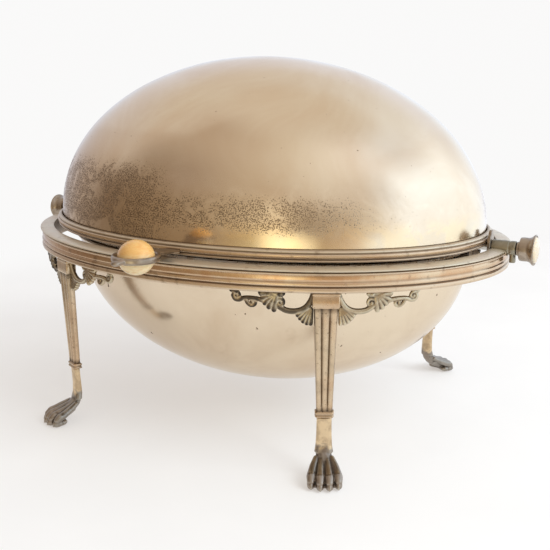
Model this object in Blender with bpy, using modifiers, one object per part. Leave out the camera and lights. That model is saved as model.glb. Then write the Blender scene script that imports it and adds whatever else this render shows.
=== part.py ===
"""Oval revolving breakfast dish: a footed frame, a hung bowl and a cover that rolls under the bowl.

Metres, +Z up. X is the long axis and the pivot axis, -Y is the front with the cover's handle.
The dish is centred on DISH_Y so that the whole object, handle included, is centred on the origin.
"""

import math

import bmesh
import bpy
from mathutils import Matrix, Vector

# Driving dimensions.
DISH_Y = 0.0209  # centre of the oval, behind the origin by half of the handle's overhang
GAP = 0.0003  # clearance between pieces that touch
OVAL_STEPS = 48

RIM_HALF_LENGTH = 0.160
RIM_HALF_WIDTH = 0.1181
RIM_BOTTOM_Z = 0.1055
RIM_WIDTH = 0.0081
AXIS_Z = 0.1188  # pivot axis, level with the frame rim's top

LID_HALF_LENGTH = 0.1453
LID_HALF_WIDTH = 0.1034
LID_EDGE_Z = 0.1192
LID_SKIRT = 0.0069
LID_HEIGHT = 0.1013  # dome above the skirt
LID_WALL = 0.0013

BOWL_HALF_LENGTH = 0.1353
BOWL_HALF_WIDTH = 0.0897
BOWL_EQUATOR_Z = 0.1071
BOWL_DEPTH = 0.0883
BOWL_TOP_Z = 0.1136
BOWL_WALL = 0.0015

LINER_HALF_LENGTH = 0.1360
LINER_HALF_WIDTH = 0.0923
LINER_WALL = 0.0013
LINER_FLANGE_Z = BOWL_TOP_Z + GAP
LEDGE_Z = 0.0890  # step inside the liner that carries the drainer

LEG_ANGLE = math.radians(55.9)  # parameter on the rim's ellipse, the same in all four quarters
BLOCK_HALF_WIDTH = 0.00755
COLLAR_BOTTOM_Z = 0.0347

SPINDLE_R = 0.0025
BARREL_R = 0.0043
BARREL_START_X = 0.1514
BARREL_END_X = 0.1653
SPINDLE_START_X = 0.1375
KNOB_R = 0.0069
KNOB_FLARE_R = 0.0089
KNOB_START_X = 0.1656
KNOB_END_X = 0.1760

BALL_R = 0.0100
BALL_FLATTENING = 0.95
BALL_Y = -0.1402
BALL_Z = 0.1242
RING_INNER_R = BALL_R + 0.0006
RING_OUTER_R = 0.0130
RING_THICKNESS = 0.0034
PIN_R = 0.0009
PIN_HALF_LENGTH = 0.0127
STRAP_HALF_WIDTH = 0.0052
STRAP_END_Y = 0.0155  # where the flat ring's stub ends, behind the ball's centre
TIP_R = 0.0028  # rounded tip on the ring's outer end
TIP_Y = -0.0168

KNOB_NECK_R = 0.0042
KNOB_NECK_LENGTH = 0.0016
DISC_R = 0.0080  # recess for the inlaid disc
DISC_RECESS = 0.0008
KNOB_BORE_DEPTH = 0.0072
SPINDLE_END_X = 0.1725
BEARING_BRACKET_Z = 0.1106  # foot of the bracket under each barrel
BEARING_HALF_WIDTH = 0.0030
CUTTER_SPARE = 0.002  # how far a cutter runs past the wall it cuts

BOWL_LUG_R = 0.0060
BOWL_LUG_BOTTOM_Z = 0.1092
BOWL_LUG_X = (0.1392, 0.1416)
LID_LUG_R = 0.0050
LID_LUG_TIP_R = 0.0026
LID_LUG_TIP_Z = 0.1260
LID_LUG_X = (0.1492, 0.1510)
BAND_BELOW_TOP = 0.0032  # underside of the bowl's rim band

LINER_FLOOR_Z = 0.0700
LINER_FLOOR_R = 0.0660
LINER_SUMP_R = 0.0780
LINER_LEDGE_R = 0.0834
LINER_MOUTH_R = 0.0845
DRAINER_HALF_WIDTH = 0.0830
DRAINER_WALL = 0.0012
DRAINER_HEIGHT = 0.0030
DRAINER_HOLE_R = 0.0030
DRAINER_ROWS = ((0.030, 6), (0.052, 10), (0.070, 14))  # row's reach across the dish, holes in it

BRACKET_THICKNESS = 0.0032
BRACKET_INSET = 0.0040  # middle of the bracket, inside the rim's outer edge
WALK_STEPS = 40  # for distances measured along the rim
TOES = 4
TOE_STEPS = 16
SHARP_EDGE = math.radians(35)
MERGE_DISTANCE = 0.00001


# Scene helpers.


def new_collection(name):
    collection = bpy.data.collections.new(name)
    bpy.context.scene.collection.children.link(collection)
    return collection


def material(name, colour, roughness, metallic):
    made = bpy.data.materials.new(name)
    made.use_nodes = True
    shader = made.node_tree.nodes["Principled BSDF"]
    shader.inputs["Base Color"].default_value = (*colour, 1.0)
    shader.inputs["Roughness"].default_value = roughness
    shader.inputs["Metallic"].default_value = metallic
    return made


def empty(name, location, parent=None):
    made = bpy.data.objects.new(name, None)
    made.location = location
    made.parent = parent
    PARTS.objects.link(made)
    return made


def add(name, data, finish, parent, smooth=True):
    """Links a solid given in dish coordinates, hung on an empty that stays in its own place."""
    made = bpy.data.objects.new(name, data)
    data.materials.clear()
    data.materials.append(finish)
    if smooth and isinstance(data, bpy.types.Mesh):
        data.shade_smooth()
        data.set_sharp_from_angle(angle=SHARP_EDGE)
    PARTS.objects.link(made)
    made.parent = parent
    if parent is not DISH:
        made.matrix_parent_inverse = Matrix.Translation(parent.location).inverted()
    return made


def helper(name, data):
    """A cutter or other construction solid, which isn't a piece of the dish."""
    made = bpy.data.objects.new(name, data)
    made.hide_render = True
    made.display_type = "WIRE"
    CUTTERS.objects.link(made)
    made.parent = DISH
    return made


def boolean(piece, other, operation="DIFFERENCE"):
    step = piece.modifiers.new(operation.title(), "BOOLEAN")
    step.object = other
    step.operation = operation
    step.solver = "EXACT"


def mesh_from(name, bm):
    bmesh.ops.recalc_face_normals(bm, faces=bm.faces)
    mesh = bpy.data.meshes.new(name)
    bm.to_mesh(mesh)
    bm.free()
    return mesh


# Shape helpers.


def oval_point(half_length, half_width, angle):
    return Vector((half_length * math.cos(angle), half_width * math.sin(angle), 0.0))


def oval_normal(half_length, half_width, angle):
    return Vector((math.cos(angle) / half_length, math.sin(angle) / half_width, 0.0)).normalized()


def oval_moulding(name, half_length, half_width, z, profile):
    """Closed ring: each (outward, up) point of the profile is carried round the oval."""
    bm = bmesh.new()
    rings = []
    for step in range(OVAL_STEPS):
        angle = math.tau * step / OVAL_STEPS
        base = oval_point(half_length, half_width, angle)
        out = oval_normal(half_length, half_width, angle)
        rings.append([bm.verts.new(base + out * u + Vector((0, 0, z + v))) for u, v in profile])
    join_rings(bm, rings, closed=True)
    return mesh_from(name, bm)


def join_rings(bm, rings, closed):
    """Quads between rings of equal length, and flat ends unless the rings close on themselves."""
    count = len(rings[0])
    pairs = list(zip(rings, rings[1:] + rings[:1] if closed else rings[1:]))
    for first, second in pairs:
        for i in range(count):
            j = (i + 1) % count
            bm.faces.new((first[i], first[j], second[j], second[i]))
    if not closed:
        bm.faces.new(rings[0])
        bm.faces.new(rings[-1])


def loft(name, sections):
    bm = bmesh.new()
    join_rings(bm, [[bm.verts.new(point) for point in section] for section in sections], closed=False)
    return mesh_from(name, bm)


def profile_mesh(name, points):
    mesh = bpy.data.meshes.new(name)
    mesh.from_pydata([(r, 0.0, z) for r, z in points], [(i, i + 1) for i in range(len(points) - 1)], [])
    return mesh


def turn(piece, steps):
    """Turns the piece's (radius, height) profile about its own Z axis."""
    screw = piece.modifiers.new("Screw", "SCREW")
    screw.steps = steps
    screw.render_steps = steps
    screw.use_merge_vertices = True
    screw.merge_threshold = MERGE_DISTANCE
    screw.use_smooth_shade = True


def cylinder(bm, radius, depth, place, sides):
    bmesh.ops.create_cone(
        bm, cap_ends=True, segments=sides, radius1=radius, radius2=radius, depth=depth, matrix=place
    )


def rod_mesh(name, radius, start_x, end_x, z, y=0.0, sides=20):
    bm = bmesh.new()
    middle = Matrix.Translation(((start_x + end_x) / 2, y, z)) @ Matrix.Rotation(math.pi / 2, 4, "Y")
    cylinder(bm, radius, abs(end_x - start_x), middle, sides)
    return mesh_from(name, bm)


def box_mesh(name, low, high):
    bm = bmesh.new()
    low, high = Vector(low), Vector(high)
    place = Matrix.Translation((low + high) / 2) @ Matrix.Diagonal((*(high - low), 1.0))
    bmesh.ops.create_cube(bm, size=1.0, matrix=place)
    return mesh_from(name, bm)


def plate_mesh(name, outline, thickness):
    """A flat outline in X and Y, given its thickness about Z = 0."""
    bm = bmesh.new()
    face = bm.faces.new([bm.verts.new((x, y, -thickness / 2)) for x, y in outline])
    bmesh.ops.triangulate(bm, faces=[face])
    made = bmesh.ops.extrude_face_region(bm, geom=bm.faces[:])
    lifted = [v for v in made["geom"] if isinstance(v, bmesh.types.BMVert)]
    bmesh.ops.translate(bm, verts=lifted, vec=(0, 0, thickness))
    return mesh_from(name, bm)


def arc(centre, radius, start_deg, end_deg, steps):
    """Points along an arc, both ends included."""
    turns = [math.radians(start_deg + (end_deg - start_deg) * i / steps) for i in range(steps + 1)]
    return [(centre[0] + radius * math.cos(a), centre[1] + radius * math.sin(a)) for a in turns]


# The frame: moulded rim, four legs with paw feet, and scroll brackets beside each leg.

RIM_PROFILE = (
    (-RIM_WIDTH, 0.0),
    (-0.0006, 0.0),
    (0.0, 0.0007),
    (0.0, 0.0024),
    (-0.0010, 0.0032),
    (0.0, 0.0042),
    (-0.0004, 0.0062),
    (-0.0004, 0.0096),
    (0.0, 0.0104),
    (-0.0009, 0.0110),
    (0.0008, 0.0116),
    (0.0006, 0.0123),
    (-0.0030, 0.0131),
    (-RIM_WIDTH, 0.0132),
)


def rim_frame():
    data = oval_moulding("rim_frame", RIM_HALF_LENGTH, RIM_HALF_WIDTH, RIM_BOTTOM_Z, RIM_PROFILE)
    rim = add("rim_frame", data, COPPERED, DISH)
    reach = RIM_HALF_LENGTH + 0.01
    boolean(rim, helper("barrel_saddle", rod_mesh("barrel_saddle", BARREL_R + GAP, -reach, reach, AXIS_Z)))


def leg_section(z, width, depth, centre, flute):
    """Leg outline at one height: flat back, three ribs in front parted by two flutes."""
    half, front, back = width / 2, centre + depth / 2, centre - depth / 2
    right = (
        (half, back),
        (half, front - depth * 0.2),
        (half * 0.88, front),
        (half * 0.46, front),
        (half * 0.36, front - flute),
        (half * 0.26, front),
    )
    left = [(-x, y) for x, y in reversed(right)]
    return [(x, y, z) for x, y in (*right, *left)]


def leg_mesh():
    top = RIM_BOTTOM_Z - GAP
    return loft(
        "leg",
        [
            leg_section(top, 0.0151, 0.0062, -0.0036, 0.0),
            leg_section(0.0978, 0.0151, 0.0062, -0.0036, 0.0),
            leg_section(0.0965, 0.0130, 0.0046, -0.0033, 0.0012),
            leg_section(0.0402, 0.0089, 0.0037, -0.0054, 0.0009),
            leg_section(0.0399, 0.0102, 0.0050, -0.0054, 0.0),
            leg_section(COLLAR_BOTTOM_Z, 0.0102, 0.0050, -0.0056, 0.0),
        ],
    )


def paw_section(centre_y, low_z, high_z, width, toe, lean):
    """Paw outline across the foot: flat sole, top scalloped into four toes."""
    half = width / 2
    points = [Vector((half * 0.86, centre_y, low_z)), Vector((half, centre_y, low_z + (high_z - low_z) * 0.35))]
    for i in range(TOE_STEPS + 1):
        x = half * (1 - 2 * i / TOE_STEPS) * 0.96
        crown = 1 - 0.35 * (x / half) ** 4
        groove = toe * (0.5 + 0.5 * math.cos(math.tau * TOES * (i / TOE_STEPS)))
        points.append(Vector((x, centre_y + lean, low_z + (high_z - low_z) * crown - groove)))
    points.append(Vector((-half, centre_y, low_z + (high_z - low_z) * 0.35)))
    points.append(Vector((-half * 0.86, centre_y, low_z)))
    return points


def ankle_section(z, width, depth, centre):
    """Ankle outline with as many points as the paw's."""
    half = width / 2
    points = [Vector((half * 0.9, centre - depth / 2, z)), Vector((half, centre, z))]
    points += [Vector((half * (1 - 2 * i / TOE_STEPS) * 0.92, centre + depth / 2, z)) for i in range(TOE_STEPS + 1)]
    points += [Vector((-half, centre, z)), Vector((-half * 0.9, centre - depth / 2, z))]
    return points


def paw_mesh():
    top = COLLAR_BOTTOM_Z - GAP
    return loft(
        "paw",
        [
            ankle_section(top, 0.0074, 0.0036, -0.0057),
            ankle_section(0.0240, 0.0076, 0.0036, -0.0063),
            ankle_section(0.0170, 0.0092, 0.0050, -0.0060),
            paw_section(-0.0058, 0.0085, 0.0155, 0.0110, 0.0, 0.0050),
            paw_section(-0.0010, 0.0040, 0.0130, 0.0140, 0.0006, 0.0040),
            paw_section(0.0045, 0.0, 0.0102, 0.0170, 0.0014, 0.0024),
            paw_section(0.0095, 0.0, 0.0078, 0.0188, 0.0020, 0.0012),
            paw_section(0.0130, 0.0, 0.0062, 0.0182, 0.0018, 0.0006),
            paw_section(0.0152, 0.0008, 0.0038, 0.0160, 0.0010, 0.0),
        ],
    )


def rim_angle(start, distance):
    """Ellipse parameter reached by walking this far along the rim's outer edge."""
    angle = start
    for _ in range(WALK_STEPS):
        tangent = Vector((-RIM_HALF_LENGTH * math.sin(angle), RIM_HALF_WIDTH * math.cos(angle)))
        angle += distance / WALK_STEPS / tangent.length
    return angle


# A scroll bracket: distance from the leg's block, then the depths below the rim of its upper and lower edges.
BRACKET_STATIONS = (
    (0.0004, 0.0, 0.0172),
    (0.0014, 0.0, 0.0172),
    (0.0032, 0.0050, 0.0168),
    (0.0058, 0.0074, 0.0150),
    (0.0078, 0.0083, 0.0130),
    (0.0104, 0.0089, 0.0123),
    (0.0132, 0.0086, 0.0121),
    (0.0148, 0.0060, 0.0120),
    (0.0160, 0.0020, 0.0120),
    (0.0174, 0.0, 0.0119),
    (0.0210, 0.0, 0.0110),
    (0.0248, 0.0, 0.0085),
    (0.0276, 0.0, 0.0066),
    (0.0290, 0.0024, 0.0066),
    (0.0306, 0.0030, 0.0082),
    (0.0324, 0.0031, 0.0088),
    (0.0342, 0.0030, 0.0078),
    (0.0358, 0.0030, 0.0060),
    (0.0384, 0.0026, 0.0058),
    (0.0396, 0.0, 0.0062),
    (0.0418, 0.0, 0.0066),
    (0.0438, 0.0, 0.0056),
    (0.0450, 0.0, 0.0030),
)


def bracket_mesh(name, leg_angle, side):
    """The bracket's silhouette, carried along the rim from beside the leg's block."""
    top = RIM_BOTTOM_Z - GAP
    sections = []
    for along, upper, lower in BRACKET_STATIONS:
        angle = rim_angle(leg_angle, side * (BLOCK_HALF_WIDTH + along))
        base = oval_point(RIM_HALF_LENGTH, RIM_HALF_WIDTH, angle)
        out = oval_normal(RIM_HALF_LENGTH, RIM_HALF_WIDTH, angle)
        near, far = -BRACKET_INSET - BRACKET_THICKNESS / 2, -BRACKET_INSET + BRACKET_THICKNESS / 2
        corners = ((near, upper), (far, upper), (far, lower), (near, lower))
        sections.append([base + out * through + Vector((0, 0, top - down)) for through, down in corners])
    return loft(name, sections)


def legs():
    leg_data, paw_data = leg_mesh(), paw_mesh()
    corners = {
        "front_right": -LEG_ANGLE,
        "front_left": LEG_ANGLE - math.pi,
        "rear_right": LEG_ANGLE,
        "rear_left": math.pi - LEG_ANGLE,
    }
    for corner, angle in corners.items():
        out = oval_normal(RIM_HALF_LENGTH, RIM_HALF_WIDTH, angle)
        turn_z = math.atan2(out.y, out.x) - math.pi / 2
        for name, data, finish in ((f"leg_{corner}", leg_data, GILDED), (f"paw_{corner}", paw_data, PEWTER)):
            piece = add(name, data, finish, DISH)
            piece.location = oval_point(RIM_HALF_LENGTH, RIM_HALF_WIDTH, angle)
            piece.rotation_euler.z = turn_z
        for label, side in (("scroll_a", 1), ("scroll_b", -1)):
            name = f"{label}_{corner}"
            add(name, bracket_mesh(name, angle, side), GILDED, DISH)


# The pivots, one at each end of the long axis.


def pivot_bearing(end, side):
    """Barrel in the rim's saddle with a bracket down the rim's outer face, bored for the spindle."""
    barrel = rod_mesh(f"pivot_bearing_{end}", BARREL_R, side * BARREL_START_X, side * BARREL_END_X, AXIS_Z)
    piece = add(f"pivot_bearing_{end}", barrel, DULL, DISH)
    near, far = sorted((side * (RIM_HALF_LENGTH + 0.0016), side * (BARREL_END_X - GAP)))
    low, high = (near, -BEARING_HALF_WIDTH, BEARING_BRACKET_Z), (far, BEARING_HALF_WIDTH, AXIS_Z - 0.0004)
    block = box_mesh("bearing_bracket", low, high)
    boolean(piece, helper(f"bearing_bracket_{end}", block), "UNION")
    ends = side * (BARREL_START_X - CUTTER_SPARE), side * (BARREL_END_X + CUTTER_SPARE)
    bore = rod_mesh("bearing_bore", SPINDLE_R + GAP, *ends, AXIS_Z)
    boolean(piece, helper(f"bearing_bore_{end}", bore))


def retaining_screw(end, side, slider, turner):
    """Spindle that carries cover and bowl, with the knob and its inlaid disc on the outer end."""
    spindle = rod_mesh(f"spindle_{end}", SPINDLE_R, side * SPINDLE_START_X, side * SPINDLE_END_X, AXIS_Z, sides=16)
    add(f"spindle_{end}", spindle, STEEL, slider)
    length = KNOB_END_X - KNOB_START_X
    bore_r = SPINDLE_R + GAP
    knob_profile = (
        (0.0, length - DISC_RECESS),
        (DISC_R, length - DISC_RECESS),
        (DISC_R, length),
        (KNOB_FLARE_R, length),
        (KNOB_FLARE_R, length - 0.0006),
        (0.0077, length - 0.0021),
        (KNOB_R, length - 0.0042),
        (KNOB_R, KNOB_NECK_LENGTH + GAP),
        (KNOB_NECK_R, KNOB_NECK_LENGTH),
        (KNOB_NECK_R, 0.0),
        (bore_r, 0.0),
        (bore_r, KNOB_BORE_DEPTH),
        (0.0, KNOB_BORE_DEPTH),
    )
    turned_piece(f"knob_{end}", knob_profile, DULL, side, KNOB_START_X, turner)
    disc = ((0.0, 0.0022), (0.0040, 0.0019), (0.0074, 0.0010), (DISC_R - GAP, 0.0), (0.0, 0.0))
    turned_piece(f"knob_disc_{end}", disc, IVORY, side, KNOB_END_X - DISC_RECESS + GAP, turner)


def turned_piece(name, profile, finish, side, start_x, parent):
    """A profile turned about the pivot axis, its heights running outwards from start_x."""
    piece = add(name, profile_mesh(name, profile), finish, parent)
    piece.location = (side * start_x, 0.0, AXIS_Z)
    piece.rotation_euler.y = side * math.pi / 2
    turn(piece, 20)


def bowl_lug(end, side):
    """Ear soldered to the bowl's rim band, hung on the spindle."""
    crown = arc((0.0, AXIS_Z), BOWL_LUG_R, 0, 180, 10)
    outline = [(BOWL_LUG_R, BOWL_LUG_BOTTOM_Z), *crown, (-BOWL_LUG_R, BOWL_LUG_BOTTOM_Z)]
    add(f"bowl_lug_{end}", ear_mesh(f"bowl_lug_{end}", outline, side, *BOWL_LUG_X), DULL, DISH)


def lid_lug(end, side):
    """Ear on the cover's moulding that turns on the spindle between cover and frame."""
    shoulder = 0.0044, LID_LUG_TIP_Z - 0.0010
    outline = [
        *arc((0.0, AXIS_Z), LID_LUG_R, 200, 340, 8),
        shoulder,
        *arc((0.0, LID_LUG_TIP_Z), LID_LUG_TIP_R, 0, 180, 6),
        (-shoulder[0], shoulder[1]),
    ]
    add(f"lid_lug_{end}", ear_mesh(f"lid_lug_{end}", outline, side, *LID_LUG_X), DULL, LID)


def ear_mesh(name, outline, side, near, far):
    """An upright plate across the pivot axis, outline in Y and Z, with the spindle's hole through it."""
    middle = side * (near + far) / 2
    hole = [(y, z) for y, z in reversed(arc((0.0, AXIS_Z), SPINDLE_R + GAP, 0, 337.5, 15))]
    curve = bpy.data.curves.new(name, "CURVE")
    curve.dimensions = "2D"
    curve.fill_mode = "BOTH"
    curve.extrude = (far - near) / 2
    for loop in (outline, hole):
        spline = curve.splines.new("POLY")
        spline.points.add(len(loop) - 1)
        spline.use_cyclic_u = True
        for point, (y, z) in zip(spline.points, loop):
            point.co = (y, z, 0.0, 1.0)
    upright = Matrix(((0, 0, 1, middle), (1, 0, 0, 0), (0, 1, 0, 0), (0, 0, 0, 1)))
    return mesh_of_curve(name, curve, upright)


def mesh_of_curve(name, curve, place):
    """The curve as a mesh with its caps welded on, moved to its place."""
    source = bpy.data.objects.new(name, curve)
    CUTTERS.objects.link(source)
    graph = bpy.context.evaluated_depsgraph_get()
    mesh = bpy.data.meshes.new_from_object(source.evaluated_get(graph))
    bpy.data.objects.remove(source)
    bpy.data.curves.remove(curve)
    mesh.transform(place)
    bm = bmesh.new()
    bm.from_mesh(mesh)
    bpy.data.meshes.remove(mesh)
    bmesh.ops.remove_doubles(bm, verts=bm.verts, dist=MERGE_DISTANCE)
    return mesh_from(name, bm)


# The bowl, its liner and drainer.


def ellipse_profile(radius, centre_z, height, steps, up):
    """Quarter of an ellipse from the axis to its widest point, over (up = 1) or under (up = -1) it."""
    quarter = [math.pi / 2 * i / steps for i in range(steps + 1)]
    return [(radius * math.sin(a), centre_z + up * height * math.cos(a)) for a in quarter]


def oval_shell(name, profile, finish, half_length, half_width, parent):
    """A turned shell, stretched along X from round to oval."""
    piece = add(name, profile_mesh(name, profile), finish, parent)
    piece.scale.x = half_length / half_width
    turn(piece, OVAL_STEPS)
    return piece


def bowl():
    inner_r = BOWL_HALF_WIDTH - BOWL_WALL
    inner = ellipse_profile(inner_r, BOWL_EQUATOR_Z, BOWL_DEPTH - BOWL_WALL, 6, -1)
    outer = ellipse_profile(BOWL_HALF_WIDTH, BOWL_EQUATOR_Z, BOWL_DEPTH, 7, -1)
    wall_top = [(inner_r, BOWL_TOP_Z), (BOWL_HALF_WIDTH, BOWL_TOP_Z)]
    profile = [*inner, *wall_top, *reversed(outer)]
    oval_shell("bowl", profile, PLATE, BOWL_HALF_LENGTH, BOWL_HALF_WIDTH, DISH)
    band = ((GAP, 0.0), (0.0022, 0.0), (0.0030, 0.0014), (0.0022, 0.0030), (GAP, 0.0030))
    data = oval_moulding("bowl_rim_band", BOWL_HALF_LENGTH, BOWL_HALF_WIDTH, BOWL_TOP_Z - BAND_BELOW_TOP, band)
    add("bowl_rim_band", data, DULL, DISH)


def liner():
    wall = LINER_WALL
    inside = [
        (0.0, LINER_FLOOR_Z + wall),
        (LINER_FLOOR_R, LINER_FLOOR_Z + wall),
        (LINER_FLOOR_R + 0.0050, LINER_FLOOR_Z + 0.0035),
        (LINER_SUMP_R, LEDGE_Z),
        (LINER_LEDGE_R, LEDGE_Z),
        (LINER_MOUTH_R, LINER_FLANGE_Z + wall),
        (LINER_HALF_WIDTH, LINER_FLANGE_Z + wall),
    ]
    outside = [
        (LINER_HALF_WIDTH, LINER_FLANGE_Z),
        (LINER_MOUTH_R + wall, LINER_FLANGE_Z),
        (LINER_LEDGE_R + wall, LEDGE_Z - wall),
        (LINER_SUMP_R + wall, LEDGE_Z - wall),
        (LINER_FLOOR_R + 0.0050 + wall, LINER_FLOOR_Z + 0.0020),
        (LINER_FLOOR_R + wall, LINER_FLOOR_Z),
        (0.0, LINER_FLOOR_Z),
    ]
    oval_shell("food_liner", inside + outside, PLATE, LINER_HALF_LENGTH, LINER_HALF_WIDTH, LINER)


def drainer():
    stretch = LINER_HALF_LENGTH / LINER_HALF_WIDTH
    base = LEDGE_Z + GAP
    plate, inner_r, edge = base + DRAINER_WALL, DRAINER_HALF_WIDTH - DRAINER_WALL, base + DRAINER_HEIGHT
    profile = [
        (0.0, plate),
        (inner_r, plate),
        (inner_r, edge),
        (DRAINER_HALF_WIDTH, edge),
        (DRAINER_HALF_WIDTH, base),
        (0.0, base),
    ]
    piece = oval_shell("drainer", profile, PLATE, LINER_HALF_LENGTH, LINER_HALF_WIDTH, DRAINER)
    bm = bmesh.new()
    for reach, count in DRAINER_ROWS:
        for i in range(count):
            spot = oval_point(reach * stretch, reach, math.tau * (i + 0.5) / count)
            place = Matrix.Translation(spot + Vector((0, 0, base)))
            cylinder(bm, DRAINER_HOLE_R, 0.01, place, 6)
    boolean(piece, helper("drainer_holes", mesh_from("drainer_holes", bm)))


# The cover and its handle.

LID_MOULDING_PROFILE = (
    (GAP, 0.0),
    (0.0022, 0.0),
    (0.0029, 0.0007),
    (0.0024, 0.0015),
    (0.0035, 0.0022),
    (0.0035, 0.0042),
    (0.0024, 0.0050),
    (0.0028, 0.0058),
    (0.0020, 0.0066),
    (GAP, LID_SKIRT),
)


def lid():
    skirt_top = LID_EDGE_Z + LID_SKIRT
    inner_r = LID_HALF_WIDTH - LID_WALL
    outer = ellipse_profile(LID_HALF_WIDTH, skirt_top, LID_HEIGHT, 8, 1)
    inner = ellipse_profile(inner_r, skirt_top, LID_HEIGHT - LID_WALL, 7, 1)
    profile = [*outer, (LID_HALF_WIDTH, LID_EDGE_Z), (inner_r, LID_EDGE_Z), *reversed(inner)]
    shell = oval_shell("lid_shell", profile, PLATE, LID_HALF_LENGTH, LID_HALF_WIDTH, LID)
    data = oval_moulding("lid_moulding", LID_HALF_LENGTH, LID_HALF_WIDTH, LID_EDGE_Z, LID_MOULDING_PROFILE)
    moulding = add("lid_moulding", data, COPPERED, LID)
    reach = RIM_HALF_LENGTH
    notch = helper("spindle_notch", rod_mesh("spindle_notch", SPINDLE_R + 0.0007, -reach, reach, AXIS_Z))
    for piece in (shell, moulding):
        boolean(piece, notch)


def handle():
    """Strap from the cover's moulding to a level ring with a rounded tip, drilled for the ball's pin."""
    bend = math.degrees(math.asin(STRAP_HALF_WIDTH / RING_OUTER_R))
    lip = math.degrees(math.asin(TIP_R / RING_OUTER_R))
    outline = [
        (STRAP_HALF_WIDTH, STRAP_END_Y),
        *arc((0, 0), RING_OUTER_R, 90 - bend, -90 + lip, 14),
        *arc((0, TIP_Y), TIP_R, 0, -180, 6),
        *arc((0, 0), RING_OUTER_R, -90 - lip, -270 + bend, 14),
        (-STRAP_HALF_WIDTH, STRAP_END_Y),
    ]
    plate = plate_mesh("lid_handle", outline, RING_THICKNESS)
    plate.transform(Matrix.Translation((0, BALL_Y, BALL_Z)))
    piece = add("lid_handle", plate, DULL, LID, smooth=False)
    boolean(piece, helper("handle_strap", strap_mesh(STRAP_HALF_WIDTH)), "UNION")
    bm = bmesh.new()
    place = Matrix.Translation((0, BALL_Y, BALL_Z))
    cylinder(bm, RING_INNER_R, 0.02, place, 28)
    boolean(piece, helper("ring_hole", mesh_from("ring_hole", bm)))
    pin_hole = rod_mesh("pin_hole", PIN_R + GAP, -RING_OUTER_R - CUTTER_SPARE, RING_OUTER_R + CUTTER_SPARE, BALL_Z, BALL_Y, 10)
    boolean(piece, helper("pin_hole", pin_hole))


def strap_mesh(half_width):
    """The cranked strap between moulding and ring, rising outwards."""
    start_y = -(LID_HALF_WIDTH + 0.0035 + GAP)
    sections = []
    for y, z, half_thickness in ((start_y, 0.1216, 0.0011), (BALL_Y + 0.0145, BALL_Z - 0.0002, 0.0013)):
        corners = ((-1, -1), (1, -1), (1, 1), (-1, 1))
        sections.append([(half_width * side, y, z + half_thickness * up) for side, up in corners])
    return loft("handle_strap", sections)


def ball():
    bm = bmesh.new()
    place = Matrix.Translation((0, BALL_Y, BALL_Z)) @ Matrix.Diagonal((1.0, 1.0, BALL_FLATTENING, 1.0))
    bmesh.ops.create_uvsphere(bm, u_segments=20, v_segments=12, radius=BALL_R, matrix=place)
    piece = add("handle_ball", mesh_from("handle_ball", bm), IVORY, LID)
    bore = rod_mesh("ball_bore", PIN_R + GAP, -BALL_R - CUTTER_SPARE, BALL_R + CUTTER_SPARE, BALL_Z, BALL_Y, 10)
    boolean(piece, helper("ball_bore", bore))
    add("ball_pin", rod_mesh("ball_pin", PIN_R, -PIN_HALF_LENGTH, PIN_HALF_LENGTH, BALL_Z, BALL_Y, 10), DULL, LID)


for old in list(bpy.data.objects):
    bpy.data.objects.remove(old)

PARTS = new_collection("revolving_dish")
CUTTERS = new_collection("cutters")

PLATE = material("silver_plate", (0.62, 0.53, 0.42), 0.25, 1.0)
COPPERED = material("worn_moulding", (0.50, 0.34, 0.22), 0.32, 1.0)
GILDED = material("cast_plate", (0.52, 0.42, 0.26), 0.35, 1.0)
PEWTER = material("dark_plate", (0.24, 0.21, 0.18), 0.45, 1.0)
DULL = material("dull_plate", (0.36, 0.31, 0.26), 0.38, 1.0)
STEEL = material("steel", (0.50, 0.50, 0.50), 0.35, 1.0)
IVORY = material("ivory", (0.86, 0.66, 0.34), 0.30, 0.0)

DISH = empty("dish", (0.0, DISH_Y, 0.0))
AXIS = (0.0, 0.0, AXIS_Z)
LID = empty("lid_axis", AXIS, DISH)
LINER = empty("liner_seat", (0.0, 0.0, LINER_FLANGE_Z), DISH)
DRAINER = empty("drainer_seat", (0.0, 0.0, LEDGE_Z), DISH)

rim_frame()
legs()
bowl()
for END, SIDE in (("right", 1), ("left", -1)):
    pivot_bearing(END, SIDE)
    SLIDER = empty(f"screw_axis_{END}", AXIS, DISH)
    retaining_screw(END, SIDE, SLIDER, empty(f"knob_axis_{END}", AXIS, DISH))
    bowl_lug(END, SIDE)
    lid_lug(END, SIDE)
liner()
drainer()
lid()
handle()
ball()
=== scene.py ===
import math

import bmesh
import bpy
import numpy as np
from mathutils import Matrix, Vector, noise

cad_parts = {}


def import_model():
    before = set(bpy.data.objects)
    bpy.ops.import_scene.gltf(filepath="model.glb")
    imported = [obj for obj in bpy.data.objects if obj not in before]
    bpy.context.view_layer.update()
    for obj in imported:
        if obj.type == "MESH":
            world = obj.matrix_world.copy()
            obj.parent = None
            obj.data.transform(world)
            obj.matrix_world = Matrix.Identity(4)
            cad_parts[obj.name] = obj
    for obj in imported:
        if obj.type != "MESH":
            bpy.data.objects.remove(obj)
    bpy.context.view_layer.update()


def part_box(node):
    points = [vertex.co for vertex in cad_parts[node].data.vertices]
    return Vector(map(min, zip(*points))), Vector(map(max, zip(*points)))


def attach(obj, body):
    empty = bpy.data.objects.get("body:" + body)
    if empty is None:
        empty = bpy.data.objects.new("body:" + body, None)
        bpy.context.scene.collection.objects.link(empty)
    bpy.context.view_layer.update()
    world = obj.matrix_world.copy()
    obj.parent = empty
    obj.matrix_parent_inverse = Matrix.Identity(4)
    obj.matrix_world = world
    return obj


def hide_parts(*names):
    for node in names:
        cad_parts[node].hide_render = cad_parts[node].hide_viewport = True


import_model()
MM = 0.001

# Places and sizes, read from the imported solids.

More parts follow.
